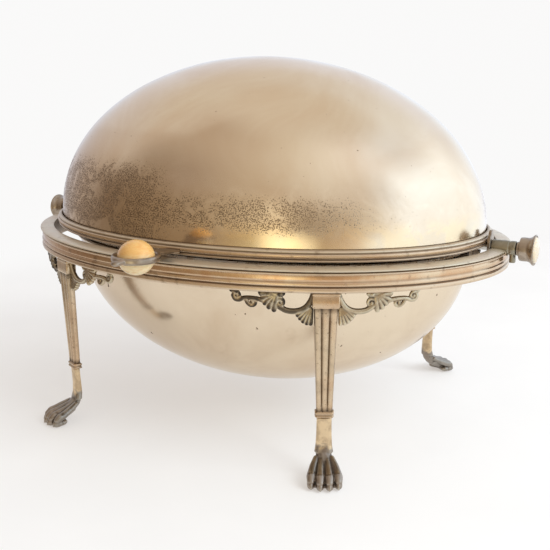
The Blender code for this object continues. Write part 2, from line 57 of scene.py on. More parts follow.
RIM_LOW, RIM_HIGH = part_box("rim_frame")
DISH_Y = (RIM_LOW.y + RIM_HIGH.y) / 2
RIM_OVERHANG = 0.8 * MM  # the top band's reach past the rim's outer edge
RIM_A = RIM_HIGH.x - RIM_OVERHANG
RIM_B = (RIM_HIGH.y - RIM_LOW.y) / 2 - RIM_OVERHANG
RIM_Z = RIM_LOW.z
AXIS_Z = sum(c.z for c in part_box("spindle_right")) / 2
GAP = 0.3 * MM
EDGE = 0.3 * MM  # the bevel on a sheet's edge
BARREL_R = 4.3 * MM
COVER_NOTCH_R = 3.2 * MM
PIVOT_END_X = 130 * MM  # notches are pressed only past here
LEG_TOP_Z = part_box("leg_front_right")[1].z
PAW_TOP_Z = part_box("paw_front_right")[1].z


def oval_of(node):
    """Half length, half width, bottom and top of an oval solid."""
    low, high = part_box(node)
    return high.x, (high.y - low.y) / 2, low.z, high.z


LID_A, LID_B, LID_EDGE_Z, LID_TOP_Z = oval_of("lid_shell")
LID_SKIRT = 6.9 * MM
LID_WALL = 1.3 * MM
BOWL_A, BOWL_B, BOWL_BOTTOM_Z, BOWL_TOP_Z = oval_of("bowl")
BOWL_EQUATOR_Z = 107.1 * MM
BOWL_WALL = 1.5 * MM
LINER_A, LINER_B, LINER_FLOOR_Z, LINER_TOP_Z = oval_of("food_liner")
LEG_ANGLE = math.radians(55.9)
BLOCK_HALF_WIDTH = 7.55 * MM
BALL = sum(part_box("handle_ball"), Vector()) / 2
BALL_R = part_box("handle_ball")[1].x
BALL_FLATTENING = 0.95
CORNERS = {
    "front_right": -LEG_ANGLE,
    "front_left": LEG_ANGLE - math.pi,
    "rear_right": LEG_ANGLE,
    "rear_left": math.pi - LEG_ANGLE,
}
ENDS = {"right": 1, "left": -1}


# Mesh helpers. Points are arrays in metres, in the row frame.


def add(name, data):
    made = bpy.data.objects.new(name, data)
    bpy.context.scene.collection.objects.link(made)
    return made


def link(name, data, material, body, replaced, slot):
    piece = add(name, data)
    data.materials.clear()
    data.materials.append(material)
    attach(piece, body)
    if replaced:
        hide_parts(*replaced)
    return piece


def mesh_of(name, points, faces, sharp=40, **attributes):
    """A shaded mesh with float attributes, one number per point."""
    mesh = bpy.data.meshes.new(name)
    mesh.from_pydata([tuple(p) for p in points], [], faces)
    for key, values in attributes.items():
        mesh.attributes.new(key, "FLOAT", "POINT").data.foreach_set("value", np.asarray(values, np.float32))
    weld(mesh)
    shade(mesh, sharp)
    return mesh


def weld(mesh):
    """Merges the points that lie on a pole or on a closed profile's ends, and turns every face outwards."""
    bm = bmesh.new()
    bm.from_mesh(mesh)
    bmesh.ops.remove_doubles(bm, verts=bm.verts, dist=1e-7)
    bmesh.ops.recalc_face_normals(bm, faces=bm.faces)
    bm.to_mesh(mesh)
    bm.free()


def shade(mesh, sharp):
    mesh.shade_smooth()
    mesh.set_sharp_from_angle(angle=math.radians(sharp))


def grid_faces(rows, columns, wrap_rows, wrap_columns):
    faces = []
    for i in range(rows if wrap_rows else rows - 1):
        for j in range(columns if wrap_columns else columns - 1):
            a, b = i * columns + j, i * columns + (j + 1) % columns
            c, d = (i + 1) % rows * columns + (j + 1) % columns, (i + 1) % rows * columns + j
            faces.append((a, b, c, d))
    return faces


def soften(profile, rounds=2, closed=False):
    """Rounds the corners of a row of points, each with any numbers after its first two carried along."""
    row = np.array(profile, float)
    for _ in range(rounds):
        after = np.roll(row, -1, 0) if closed else row[1:]
        before = row if closed else row[:-1]
        cut = np.stack((0.75 * before + 0.25 * after, 0.25 * before + 0.75 * after), 1)
        cut = cut.reshape(-1, row.shape[1])
        row = cut if closed else np.concatenate((row[:1], cut, row[-1:]))
    return row


def oval_angles(count, near_ends=0, span=0.05):
    """Angles round an oval, with extra ones close to the two pivots."""
    angles = list(np.linspace(0, math.tau, count, endpoint=False))
    for end in (0.0, math.pi):
        angles += [(end + a) % math.tau for a in np.linspace(-span, span, near_ends)] if near_ends else []
    return np.unique(np.round(angles, 6))


def oval(a, b, angles):
    """Points round an oval about the dish's centre, and its outward normals."""
    points = np.stack((a * np.cos(angles), b * np.sin(angles)), 1)
    normals = np.stack((np.cos(angles) / a, np.sin(angles) / b), 1)
    return points, normals / np.linalg.norm(normals, axis=1)[:, None]


def moulding(name, a, b, z, profile, angles):
    """A closed (outward, up, grime, tone) profile in millimetres, carried round an oval."""
    row = soften(profile, closed=True)
    base, out = oval(a, b, angles)
    flat = base[:, None, :] + out[:, None, :] * row[None, :, :1] * MM
    points = np.dstack((flat, np.broadcast_to(z + row[:, 1] * MM, flat.shape[:2])))
    points[:, :, 1] += DISH_Y
    count = len(angles)
    faces = grid_faces(count, len(row), True, True)
    grime, tone = (np.tile(row[:, i], count) for i in (2, 3))
    return mesh_of(name, points.reshape(-1, 3), faces, grime=grime, tone=tone)


def lathe(radii, heights, angles, centre=(0.0, 0.0, 0.0), stretch=1.0):
    """Points of a profile turned about an upright axis, one row of points to each angle."""
    x = radii[None, :] * np.cos(angles)[:, None] * stretch + centre[0]
    y = radii[None, :] * np.sin(angles)[:, None] + centre[1]
    return np.stack((x, y, np.broadcast_to(heights + centre[2], x.shape)), 2).reshape(-1, 3)


def full_turn(steps):
    return np.linspace(0, math.tau, steps, endpoint=False)


def oval_shell(name, profile, a, b, angles):
    """A (radius, height) profile from pole to pole in metres, turned and stretched into an oval."""
    radii, heights = np.array(profile, float).T
    points = lathe(radii, heights, angles, (0.0, DISH_Y, 0.0), a / b)
    return mesh_of(name, points, grid_faces(len(angles), len(radii), True, False))


def quarter(radius, centre_z, height, steps, up):
    """Quarter of an ellipse from the axis out to its widest point."""
    angles = np.linspace(0, math.pi / 2, steps)
    return np.stack((radius * np.sin(angles), centre_z + up * height * np.cos(angles)), 1)


def turned(name, profile, centre, side, steps=64):
    """A (radius, along) profile in millimetres turned about the pivot axis, running outwards from centre."""
    row = soften(profile, 1)
    upright = lathe(row[:, 0] * MM, side * row[:, 1] * MM, full_turn(steps))
    points = upright[:, [2, 0, 1]] + np.array(centre)
    return mesh_of(name, points, grid_faces(steps, len(row), True, False), 35)


def cut_round(mesh, radius, keep_above):
    """Presses a half-round notch about the pivot axis into a mesh's edge at both ends of the dish."""
    for vertex in mesh.vertices:
        across = abs(vertex.co.y - DISH_Y)
        if across < radius and abs(vertex.co.x) > PIVOT_END_X:
            reach = math.sqrt(radius * radius - across * across)
            if keep_above and vertex.co.z < AXIS_Z + reach:
                vertex.co.z = AXIS_Z + reach
            elif not keep_above:
                vertex.co.z = min(vertex.co.z, AXIS_Z - reach)


# Cast pieces: many overlapping balls, fused into one skin and smoothed. Their places are in millimetres.


def ball_template():
    bm = bmesh.new()
    bmesh.ops.create_icosphere(bm, subdivisions=2, radius=1.0)
    points = np.array([v.co for v in bm.verts])
    faces = np.array([[v.index for v in f.verts] for f in bm.faces])
    bm.free()
    return points, faces


BALL_POINTS, BALL_FACES = ball_template()


def chain(points, radii, flat=(1.0, 1.0, 1.0), spacing=0.3):
    """Balls along a smooth path; radii run from point to point, and flat squeezes every ball."""
    path = np.array(points, float)
    sizes = np.interp(np.linspace(0, 1, len(path)), np.linspace(0, 1, len(radii)), radii)
    balls = []
    ends = np.vstack((2 * path[0] - path[1], path, 2 * path[-1] - path[-2]))
    for i in range(len(path) - 1):
        p0, p1, p2, p3 = ends[i : i + 4]
        radius = max(0.3, min(sizes[i], sizes[i + 1]))
        count = max(2, int(np.linalg.norm(p2 - p1) / (radius * spacing)))
        for t in np.linspace(0, 1, count):
            bend = (2 * p0 - 5 * p1 + 4 * p2 - p3) * t**2 + (3 * p1 - p0 - 3 * p2 + p3) * t**3
            spot = 0.5 * (2 * p1 + (p2 - p0) * t + bend)
            balls.append((spot, (sizes[i] + (sizes[i + 1] - sizes[i]) * t) * np.array(flat)))
    return balls


def fuse(name, balls, voxel, smooth, solids=()):
    """One skin over all the balls and any extra (points, faces) solids, as arrays of points and quads."""
    points, faces, start = [], [], 0
    for spot, size in balls:
        points.append(BALL_POINTS * size + np.array(spot))
        faces.append(BALL_FACES + start)
        start += len(BALL_POINTS)
    faces = [tuple(f) for f in np.concatenate(faces)] if faces else []
    for extra_points, extra_faces in solids:
        points.append(np.array(extra_points, float))
        faces += [tuple(i + start for i in f) for f in extra_faces]
        start += len(extra_points)
    mesh = bpy.data.meshes.new(name)
    mesh.from_pydata([tuple(p) for p in np.concatenate(points)], [], faces)
    source = add(name, mesh)
    remesh = source.modifiers.new("Fuse", "REMESH")
    remesh.mode = "VOXEL"
    remesh.voxel_size = voxel
    relax = source.modifiers.new("Relax", "SMOOTH")
    relax.factor = 0.5
    relax.iterations = smooth
    graph = bpy.context.evaluated_depsgraph_get()
    fused = bpy.data.meshes.new_from_object(source.evaluated_get(graph))
    bpy.data.objects.remove(source)
    bpy.data.meshes.remove(mesh)
    made = np.array([v.co for v in fused.vertices])
    quads = [tuple(p.vertices) for p in fused.polygons]
    bpy.data.meshes.remove(fused)
    return made, quads


def hollows(points, quads):
    """How far each point lies in a recess: about 0 on a flat or raised face, up to 1 deep in a crease."""
    faces = np.array(quads)
    edges = np.concatenate([faces[:, [i, (i + 1) % 4]] for i in range(4)])
    edges = np.concatenate((edges, edges[:, ::-1]))  # each edge counts for both its ends
    here, there = edges.T
    normals = np.zeros_like(points)
    a, b, c, d = (points[faces[:, i]] for i in range(4))
    face_normals = np.cross(c - a, d - b)
    for corner in range(4):
        np.add.at(normals, faces[:, corner], face_normals)
    normals /= np.maximum(np.linalg.norm(normals, axis=1), 1e-12)[:, None]
    total, count = np.zeros_like(points), np.zeros(len(points))
    np.add.at(total, here, points[there])
    np.add.at(count, here, 1)
    length = np.linalg.norm(points[here] - points[there], axis=1).mean()
    value = ((total / count[:, None] - points) * normals).sum(1) / length
    for _ in range(5):
        near = np.zeros(len(points))
        np.add.at(near, here, value[there])
        value = 0.5 * value + 0.5 * near / count
    return value


def cast_piece(name, points, quads, material, body, replaced, slot, gain=14.0):
    depth = hollows(points, quads) * gain
    mesh = mesh_of(name, points, quads, 75, grime=np.clip(depth, 0, 1), wear=np.clip(-depth * 0.6, 0, 1))
    return link(name, mesh, material, body, replaced, slot)


# Material helpers.


class Tree:
    """A node tree, built by short calls that return sockets."""

    def __init__(self, owner):
        owner.use_nodes = True
        self.nodes = owner.node_tree.nodes
        self.links = owner.node_tree.links

    def put(self, socket, value):
        if isinstance(value, bpy.types.NodeSocket):
            self.links.new(value, socket)
        elif isinstance(value, (tuple, list)) and len(value) == 3 and len(socket.default_value) == 4:
            socket.default_value = (*value, 1.0)
        else:
            socket.default_value = value

    def step(self, value, low, high, to_low=0.0, to_high=1.0):
        node = self.nodes.new("ShaderNodeMapRange")
        node.interpolation_type = "SMOOTHSTEP"
        for index, number in enumerate((value, low, high, to_low, to_high)):
            self.put(node.inputs[index], number)
        return node.outputs["Result"]

    def sum(self, operation, first, second, clamp=True):
        node = self.nodes.new("ShaderNodeMath")
        node.operation = operation
        node.use_clamp = clamp
        self.put(node.inputs[0], first)
        self.put(node.inputs[1], second)
        return node.outputs[0]

    def plain(self, operation, first, second):
        """A sum that may go below 0 or above 1."""
        return self.sum(operation, first, second, clamp=False)

    def plus(self, first, second):
        return self.sum("ADD", first, second)

    def times(self, first, second):
        return self.sum("MULTIPLY", first, second)

    def mix(self, factor, first, second):
        node = self.nodes.new("ShaderNodeMix")
        node.data_type = "RGBA"
        self.put(node.inputs["Factor"], factor)
        self.put(node.inputs[6], first)
        self.put(node.inputs[7], second)
        return node.outputs[2]


class Look(Tree):
    """A material's nodes."""

    def __init__(self, name):
        self.material = bpy.data.materials.new(name)
        super().__init__(self.material)
        self.shader = self.nodes["Principled BSDF"]
        self.place = self.nodes.new("ShaderNodeTexCoord").outputs["Object"]

    def fed(self, kind, at=None):
        """A new node that reads the place on the object."""
        node = self.nodes.new(kind)
        self.links.new(at or self.place, node.inputs["Vector"])
        return node

    def noise(self, scale, detail=4.0, rough=0.55, twist=0.0, at=None):
        node = self.fed("ShaderNodeTexNoise", at)
        for key, value in (("Scale", scale), ("Detail", detail), ("Roughness", rough), ("Distortion", twist)):
            node.inputs[key].default_value = value
        return node.outputs["Fac"]

    def stretched(self, scale):
        node = self.fed("ShaderNodeMapping")
        node.inputs["Scale"].default_value = scale
        return node.outputs["Vector"]

    def axis(self, name):
        return self.fed("ShaderNodeSeparateXYZ").outputs[name]

    def attribute(self, name):
        node = self.nodes.new("ShaderNodeAttribute")
        node.attribute_name = name
        return node.outputs["Fac"]

    def bump(self, height, strength, distance, after=None):
        node = self.nodes.new("ShaderNodeBump")
        node.inputs["Strength"].default_value = strength
        node.inputs["Distance"].default_value = distance
        self.links.new(height, node.inputs["Height"])
        if after:
            self.links.new(after, node.inputs["Normal"])
        return node.outputs["Normal"]

    def finish(self, colour, roughness, metallic, normal=None):
        self.put(self.shader.inputs["Base Color"], colour)
        self.put(self.shader.inputs["Roughness"], roughness)
        self.put(self.shader.inputs["Metallic"], metallic)
        if normal:
            self.links.new(normal, self.shader.inputs["Normal"])
        return self.material


SILVER = (0.80, 0.69, 0.54)
PALE_SILVER = (0.79, 0.67, 0.51)
BROWN_TARNISH = (0.50, 0.34, 0.20)
PIT_BROWN = (0.105, 0.064, 0.036)
COPPER = (0.60, 0.385, 0.23)
GREEN_GREY = (0.62, 0.56, 0.44)
GRIME = (0.062, 0.046, 0.034)
CAST_GOLD = (0.66, 0.52, 0.36)
PEWTER = (0.30, 0.27, 0.235)


def lid_plate():
    """Warm tarnished silver, pitted in a belt low on the front and thickest at the left."""
    t = Look("lid_plate")
    x, y, z = t.axis("X"), t.axis("Y"), t.axis("Z")
    clouds = t.noise(16, 6, 0.6, 0.6)
    colour = t.mix(t.step(clouds, 0.35, 0.68), SILVER, (0.74, 0.60, 0.44))
    colour = t.mix(t.step(t.noise(7, 3), 0.5, 0.75, 0.0, 0.5), colour, (0.84, 0.70, 0.58))
    front = t.step(y, DISH_Y + 0.03, DISH_Y - 0.03)
    left = t.times(t.step(x, 0.020, -0.030), t.step(z, 0.178, 0.158))
    belt = t.times(t.step(z, 0.126, 0.138), t.step(z, 0.164, 0.146))
    belt = t.times(belt, t.step(x, 0.135, 0.060, 0.35, 0.85))
    region = t.times(t.sum("MAXIMUM", left, belt), front)
    back = t.times(t.step(z, 0.175, 0.135), t.step(t.noise(22, 2), 0.45, 0.62, 0.0, 0.8))
    region = t.sum("MAXIMUM", region, t.times(back, t.step(y, DISH_Y - 0.03, DISH_Y + 0.02)))
    patches = t.noise(70, 6, 0.7, 1.0)
    specks = t.noise(1500, 2, 0.5)
    spread = t.times(region, t.step(patches, 0.30, 0.52))
    limit = t.step(spread, 0.0, 1.0, 0.80, 0.47)
    pits = t.step(t.plain("SUBTRACT", specks, limit), -0.01, 0.05)
    lone = t.step(t.noise(480, 2, 0.5), 0.745, 0.775)
    colour = t.mix(t.times(spread, 0.38), colour, BROWN_TARNISH)
    # A painted dark reflection: a darker toned field on the front, below an edge that climbs to the right and
    # fades out there.
    slope = t.sum("SUBTRACT", z, t.times(x, 0.43))
    painted_dark_reflection = t.times(t.step(slope, 0.187, 0.181), t.step(x, 0.040, 0.005))
    painted_dark_reflection = t.times(painted_dark_reflection, front)
    colour = t.mix(t.times(painted_dark_reflection, 0.30), colour, (0.60, 0.44, 0.29))
    # A painted gold reflection: a patchy warm band low on the dome's front, towards the right.
    painted_gold_reflection = t.times(t.step(z, 0.142, 0.134), t.step(t.noise(38, 4, 0.6, 0.8), 0.46, 0.60, 0.0, 0.42))
    painted_gold_reflection = t.times(painted_gold_reflection, t.times(front, t.step(x, -0.010, 0.020)))
    colour = t.mix(painted_gold_reflection, colour, (0.92, 0.70, 0.42))
    pits = t.sum("MAXIMUM", t.times(pits, 0.66), t.times(lone, 0.5))
    colour = t.mix(pits, colour, PIT_BROWN)
    scratches = t.noise(260, 3, 0.6, at=t.stretched((1.0, 1.0, 6.0)))
    rough = t.step(t.noise(40, 5), 0.3, 0.75, 0.13, 0.22)
    rough = t.plus(rough, t.times(pits, 0.35))
    normal = t.bump(scratches, 0.035, 0.0004)
    normal = t.bump(t.sum("SUBTRACT", 1.0, pits), 0.25, 0.00015, normal)
    return t.finish(colour, rough, 1.0, normal)


def bowl_plate():
    t = Look("bowl_plate")
    colour = t.mix(t.step(t.noise(14, 5, 0.6, 0.5), 0.35, 0.7), PALE_SILVER, (0.68, 0.54, 0.39))
    stains = t.step(t.noise(30, 5, 0.65, 0.4), 0.62, 0.80)
    colour = t.mix(t.times(stains, 0.35), colour, (0.42, 0.29, 0.18))
    # Painted shade: the bowl grows darker towards the left, away from the light.
    colour = t.mix(t.step(t.axis("X"), 0.030, -0.100, 0.0, 0.55), colour, (0.56, 0.43, 0.31))
    dots = t.step(t.noise(210, 2, 0.5), 0.735, 0.76)
    colour = t.mix(t.times(dots, 0.8), colour, PIT_BROWN)
    rough = t.step(t.noise(35, 5), 0.3, 0.75, 0.12, 0.24)
    return t.finish(colour, t.plus(rough, t.times(dots, 0.3)), 1.0, t.bump(t.noise(240, 3), 0.03, 0.0004))


def liner_plate():
    t = Look("liner_plate")
    colour = t.mix(t.step(t.noise(18, 5, 0.6, 0.5), 0.35, 0.7), (0.80, 0.76, 0.69), (0.68, 0.60, 0.50))
    wiped = t.noise(120, 4, 0.6, at=t.stretched((1.0, 5.0, 1.0)))
    return t.finish(colour, t.step(wiped, 0.3, 0.7, 0.20, 0.34), 1.0, t.bump(wiped, 0.02, 0.0002))


def worn_moulding():
    """Copper showing through worn plate, bloomed pale where tone is high and dark where grime is."""
    t = Look("worn_moulding")
    tone = t.attribute("tone")
    along = t.noise(45, 5, 0.65, 0.6)
    colour = t.mix(t.step(along, 0.34, 0.66), COPPER, (0.66, 0.50, 0.34))
    pale = t.mix(t.step(along, 0.36, 0.66), GREEN_GREY, (0.60, 0.50, 0.38))
    colour = t.mix(tone, colour, pale)
    blotches = t.step(t.noise(130, 4, 0.65), 0.56, 0.72, 0.0, 0.55)
    colour = t.mix(blotches, colour, (0.24, 0.16, 0.10))
    dirt = t.plus(t.attribute("grime"), t.step(t.noise(420, 3), 0.62, 0.78, 0.0, 0.30))
    colour = t.mix(dirt, colour, GRIME)
    rough = t.plus(t.step(dirt, 0.0, 1.0, 0.20, 0.55), t.times(tone, 0.16))
    dull = t.sum("SUBTRACT", t.step(dirt, 0.5, 1.0, 1.0, 0.5), t.times(tone, 0.28))
    return t.finish(colour, rough, dull, t.bump(t.noise(500, 4), 0.12, 0.0003))


def cast_metal(name, body, worn, dark, rough):
    """Cast and chased metal: dark in the recesses, bright where it is rubbed."""
    t = Look(name)
    colour = t.mix(t.step(t.noise(90, 5, 0.6, 0.5), 0.36, 0.68), body, tuple(c * 0.74 for c in body))
    coppery = t.step(t.noise(26, 4, 0.6, 0.4), 0.42, 0.64, 0.0, 0.55)
    colour = t.mix(coppery, colour, (body[0] * 0.95, body[1] * 0.78, body[2] * 0.68))
    colour = t.mix(t.times(t.attribute("wear"), 0.75), colour, worn)
    specks = t.step(t.noise(520, 4, 0.6), 0.56, 0.75, 0.0, 0.45)
    dirt = t.plus(t.attribute("grime"), specks)
    colour = t.mix(dirt, colour, dark)
    roughness = t.step(dirt, 0.0, 1.0, rough, 0.60)
    return t, colour, roughness, t.step(dirt, 0.6, 1.0, 1.0, 0.55), t.bump(t.noise(620, 4), 0.16, 0.0003)


def cast_plate(name, body, worn, dark, rough):
    t, *looks = cast_metal(name, body, worn, dark, rough)
    return t.finish(*looks)


def paw_plate():
    """Pewter-dark paw below an ankle rubbed through to gold, with a ragged edge between them."""
    rubbed, dark = (0.60, 0.56, 0.48), (0.05, 0.042, 0.035)
    t, colour, rough, metal, normal = cast_metal("paw_plate", PEWTER, rubbed, dark, 0.28)
    ragged = t.plus(t.axis("Z"), t.step(t.noise(150, 4, 0.6), 0.3, 0.7, -0.0025, 0.0025))
    gold = t.mix(t.step(t.noise(170, 5, 0.65), 0.40, 0.62), (0.74, 0.57, 0.36), (0.52, 0.39, 0.25))
    return t.finish(t.mix(t.step(ragged, 0.0165, 0.0200), colour, gold), rough, metal, normal)


def plain_metal(name, light, dark, rough):
    """Dull tarnished metal without carried attributes."""
    t = Look(name)
    colour = t.mix(t.step(t.noise(110, 5, 0.6, 0.6), 0.35, 0.68), light, dark)
    specks = t.step(t.noise(600, 4), 0.60, 0.76, 0.0, 0.6)
    colour = t.mix(specks, colour, GRIME)
    normal = t.bump(t.noise(420, 4), 0.15, 0.0003)
    return t.finish(colour, t.step(specks, 0.0, 0.6, rough, rough + 0.25), 1.0, normal)


IVORY_GLOW = (
    ("Coat Weight", 0.25),
    ("Coat Roughness", 0.12),
    ("Subsurface Weight", 0.08),
    ("Subsurface Radius", (0.004, 0.002, 0.001)),
    ("Subsurface Scale", 0.5),
)


def ivory(name, upper, lower, z_low, z_high):
    """Old ivory: darker honey above, cream below, with fine grain running round."""
    t = Look(name)
    grain = t.noise(260, 4, 0.6, 0.4, at=t.stretched((1.0, 1.0, 3.5)))
    height = t.step(t.plus(t.axis("Z"), t.step(t.noise(90, 3), 0.3, 0.7, -0.001, 0.001)), z_low, z_high)
    colour = t.mix(height, lower, upper)
    browner = tuple(c * f for c, f in zip(upper, (0.86, 0.66, 0.42)))
    colour = t.mix(t.step(grain, 0.42, 0.70, 0.0, 0.45), colour, browner)
    cracks = t.step(t.noise(340, 6, 0.7, 1.2), 0.66, 0.74, 0.0, 0.35)
    colour = t.mix(cracks, colour, (0.30, 0.16, 0.06))
    for key, value in IVORY_GLOW:
        t.shader.inputs[key].default_value = value
    return t.finish(colour, t.step(grain, 0.3, 0.7, 0.26, 0.36), 0.0, t.bump(grain, 0.05, 0.0002))


LID_PLATE = lid_plate()
BOWL_PLATE = bowl_plate()
LINER_PLATE = liner_plate()
MOULDING = worn_moulding()
CAST = cast_plate("cast_plate", CAST_GOLD, (0.80, 0.64, 0.42), (0.055, 0.036, 0.022), 0.26)
PAW_METAL = paw_plate()
SCROLL = cast_plate("scroll_plate", (0.42, 0.35, 0.245), (0.78, 0.70, 0.52), (0.050, 0.038, 0.028), 0.26)
DULL = plain_metal("dull_plate", (0.42, 0.35, 0.28), (0.27, 0.215, 0.165), 0.30)
BARREL_METAL = plain_metal("barrel_plate", (0.34, 0.31, 0.24), (0.20, 0.18, 0.135), 0.30)
STEEL = plain_metal("spindle_metal", (0.52, 0.50, 0.46), (0.40, 0.37, 0.33), 0.26)
BALL_IVORY = ivory("ball_ivory", (0.68, 0.41, 0.14), (0.76, 0.63, 0.38), BALL.z - 0.002, BALL.z + 0.004)
DISC_IVORY = ivory("disc_ivory", (0.62, 0.55, 0.42), (0.60, 0.52, 0.38), AXIS_Z - 0.006, AXIS_Z + 0.006)


# The frame's rim.

RIM_OUTLINE = (
    # outward, up, grime, tone
    (-8.1, 0.0, 0.5, 0.3), (-4.0, 0.0, 0.6, 0.3), (-1.0, 0.0, 0.3, 0.3), (-0.1, 0.15, 0.0, 0.6),
    (0.2, 0.8, 0.0, 0.5), (0.2, 1.8, 0.0, 0.5), (0.0, 2.5, 0.05, 0.4), (-0.5, 2.85, 0.45, 0.2),
    (-0.95, 3.2, 0.75, 0.2), (-0.5, 3.55, 0.45, 0.1), (0.0, 3.8, 0.0, 0.2), (0.1, 4.5, 0.0, 0.3),
    (0.0, 5.4, 0.0, 0.2), (-0.3, 5.9, 0.35, 0.0), (-0.45, 6.2, 0.3, 0.0), (-0.25, 6.8, 0.0, 0.0),
    (-0.25, 8.0, 0.0, 0.0), (-0.35, 9.0, 0.0, 0.0), (-0.45, 9.45, 0.3, 0.0), (-0.2, 9.75, 0.0, 0.2),
    (0.05, 10.1, 0.0, 0.6), (0.0, 10.5, 0.0, 0.6), (-0.4, 10.8, 0.35, 0.4), (-1.0, 11.05, 0.8, 0.4),
    (-0.4, 11.3, 0.5, 0.6), (0.4, 11.45, 0.05, 0.9), (0.8, 11.75, 0.0, 1.0), (0.75, 12.15, 0.0, 1.0),
    (0.0, 12.55, 0.0, 1.0), (-2.0, 12.95, 0.0, 1.0), (-4.5, 13.15, 0.0, 1.0), (-7.0, 13.15, 0.0, 1.0),
    (-8.1, 13.0, 0.1, 1.0), (-8.1, 12.3, 0.7, 0.4), (-8.1, 8.0, 0.7, 0.3),
)
rim_mesh = moulding("rim", RIM_A, RIM_B, RIM_Z, RIM_OUTLINE, oval_angles(300, 21))
cut_round(rim_mesh, BARREL_R + GAP, keep_above=False)
link("rim", rim_mesh, MOULDING, "frame", ["rim_frame"], "worn_moulding")


# The cover.

LID_OUTLINE = (
    (0.3, 0.0, 0.9, 0.3), (1.6, 0.0, 0.9, 0.2), (2.4, 0.1, 0.7, 0.2), (2.9, 0.5, 0.1, 0.4),
    (2.8, 1.1, 0.1, 0.5), (2.3, 1.5, 0.6, 0.3), (2.2, 1.8, 0.7, 0.2), (2.8, 2.1, 0.3, 0.2),
    (3.3, 2.5, 0.0, 0.4), (3.45, 3.2, 0.0, 0.2), (3.5, 4.0, 0.0, 0.3), (3.2, 4.5, 0.1, 0.5),
    (2.6, 4.8, 0.6, 0.3), (2.5, 5.1, 0.55, 0.5), (2.9, 5.4, 0.0, 0.9), (2.8, 6.1, 0.0, 0.9),
    (2.0, 6.6, 0.1, 0.8), (1.2, 6.7, 0.4, 0.6), (0.3, 6.9, 0.8, 0.5),
)
lid_band = moulding("cover_band", LID_A, LID_B, LID_EDGE_Z, LID_OUTLINE, oval_angles(288, 21))
cut_round(lid_band, COVER_NOTCH_R, keep_above=True)
link("cover_band", lid_band, MOULDING, "lid", ["lid_moulding"], "worn_moulding")

SKIRT_TOP_Z = LID_EDGE_Z + LID_SKIRT
DOME_HEIGHT = LID_TOP_Z - SKIRT_TOP_Z
DENTS_PER_METRE = 22
DENT_DEPTH = 0.22 * MM
DENT_FADE = 12 * MM
DENT_SINK = 0.1 * MM


def dome_mesh():
    outer = quarter(LID_B, SKIRT_TOP_Z, DOME_HEIGHT, 72, 1)
    inner = quarter(LID_B - LID_WALL, SKIRT_TOP_Z, DOME_HEIGHT - LID_WALL, 40, 1)
    lip = [(LID_B, LID_EDGE_Z + EDGE), (LID_B - EDGE, LID_EDGE_Z), (LID_B - LID_WALL, LID_EDGE_Z)]
    profile = np.vstack((outer, lip, inner[::-1]))
    mesh = oval_shell("cover", profile, LID_A, LID_B, oval_angles(256, 15))
    for vertex in mesh.vertices:  # hand raising leaves the dome very slightly uneven
        rise = vertex.co.z - SKIRT_TOP_Z
        if rise > 0:
            spot = vertex.co * DENTS_PER_METRE
            across = vertex.co.x / LID_A**2, (vertex.co.y - DISH_Y) / LID_B**2
            out = Vector((*across, rise / DOME_HEIGHT**2)).normalized()
            vertex.co += out * (noise.noise(spot) * DENT_DEPTH * min(1.0, rise / DENT_FADE) - DENT_SINK)
    cut_round(mesh, COVER_NOTCH_R, keep_above=True)
    return mesh


link("cover", dome_mesh(), LID_PLATE, "lid", ["lid_shell"], "lid_plate")


# The bowl with its band, the liner and the drainer.


def bowl_mesh():
    depth = BOWL_EQUATOR_Z - BOWL_BOTTOM_Z
    inner = quarter(BOWL_B - BOWL_WALL, BOWL_EQUATOR_Z, depth - BOWL_WALL, 40, -1)
    outer = quarter(BOWL_B, BOWL_EQUATOR_Z, depth, 64, -1)
    top = [(BOWL_B - BOWL_WALL, BOWL_TOP_Z), (BOWL_B - EDGE, BOWL_TOP_Z), (BOWL_B, BOWL_TOP_Z - EDGE)]
    profile = np.vstack((inner, top, outer[::-1]))
    return oval_shell("water_bowl", profile, BOWL_A, BOWL_B, oval_angles(256))


link("water_bowl", bowl_mesh(), BOWL_PLATE, "frame", ["bowl"], "bowl_plate")

BAND_OUTLINE = (
    (0.3, 0.0, 0.6, 0.3), (1.8, 0.0, 0.5, 0.3), (2.7, 0.6, 0.1, 0.5), (3.0, 1.5, 0.0, 0.7),
    (2.7, 2.4, 0.0, 0.7), (1.8, 3.0, 0.2, 0.5), (0.3, 3.0, 0.5, 0.4),
)
band_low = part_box("bowl_rim_band")[0].z
bowl_band = moulding("bowl_band", BOWL_A, BOWL_B, band_low, BAND_OUTLINE, oval_angles(240))
link("bowl_band", bowl_band, MOULDING, "frame", ["bowl_rim_band"], "dull_plate")

LINER_INSIDE = (
    (0.0, 1.3), (60.0, 1.3), (66.0, 1.5), (71.0, 3.5),
    (77.2, 17.6), (78.4, 19.0), (82.6, 19.0), (83.5, 19.6),
)
WALL_MM = 1.3


def liner_mesh():
    top = (LINER_TOP_Z - LINER_FLOOR_Z) / MM
    rim = (LINER_B / MM, top)
    inside = soften((*LINER_INSIDE, (84.3, top - 1.2), (85.6, top), (rim[0] - 0.6, top), rim))
    outside = soften(
        (
            (rim[0], top - WALL_MM),
            (86.4, top - WALL_MM),
            (85.6, top - 2.4),
            (84.7, 18.0),
            (79.6, 17.7),
            (78.6, 16.8),
            (72.3, 2.4),
            (67.0, 0.2),
            (60.0, 0.0),
            (0.0, 0.0),
        )
    )
    profile = np.vstack((inside, outside))
    profile = np.stack((profile[:, 0] * MM, LINER_FLOOR_Z + profile[:, 1] * MM), 1)
    return oval_shell("inner_dish", profile, LINER_A, LINER_B, oval_angles(192))


link("inner_dish", liner_mesh(), LINER_PLATE, "liner", ["food_liner"], "liner_plate")

DRAINER_ROWS = ((0.030, 6), (0.052, 10), (0.070, 14))
DRAINER_HOLE_R = 3.0 * MM
DRAINER_WALL = 1.2 * MM


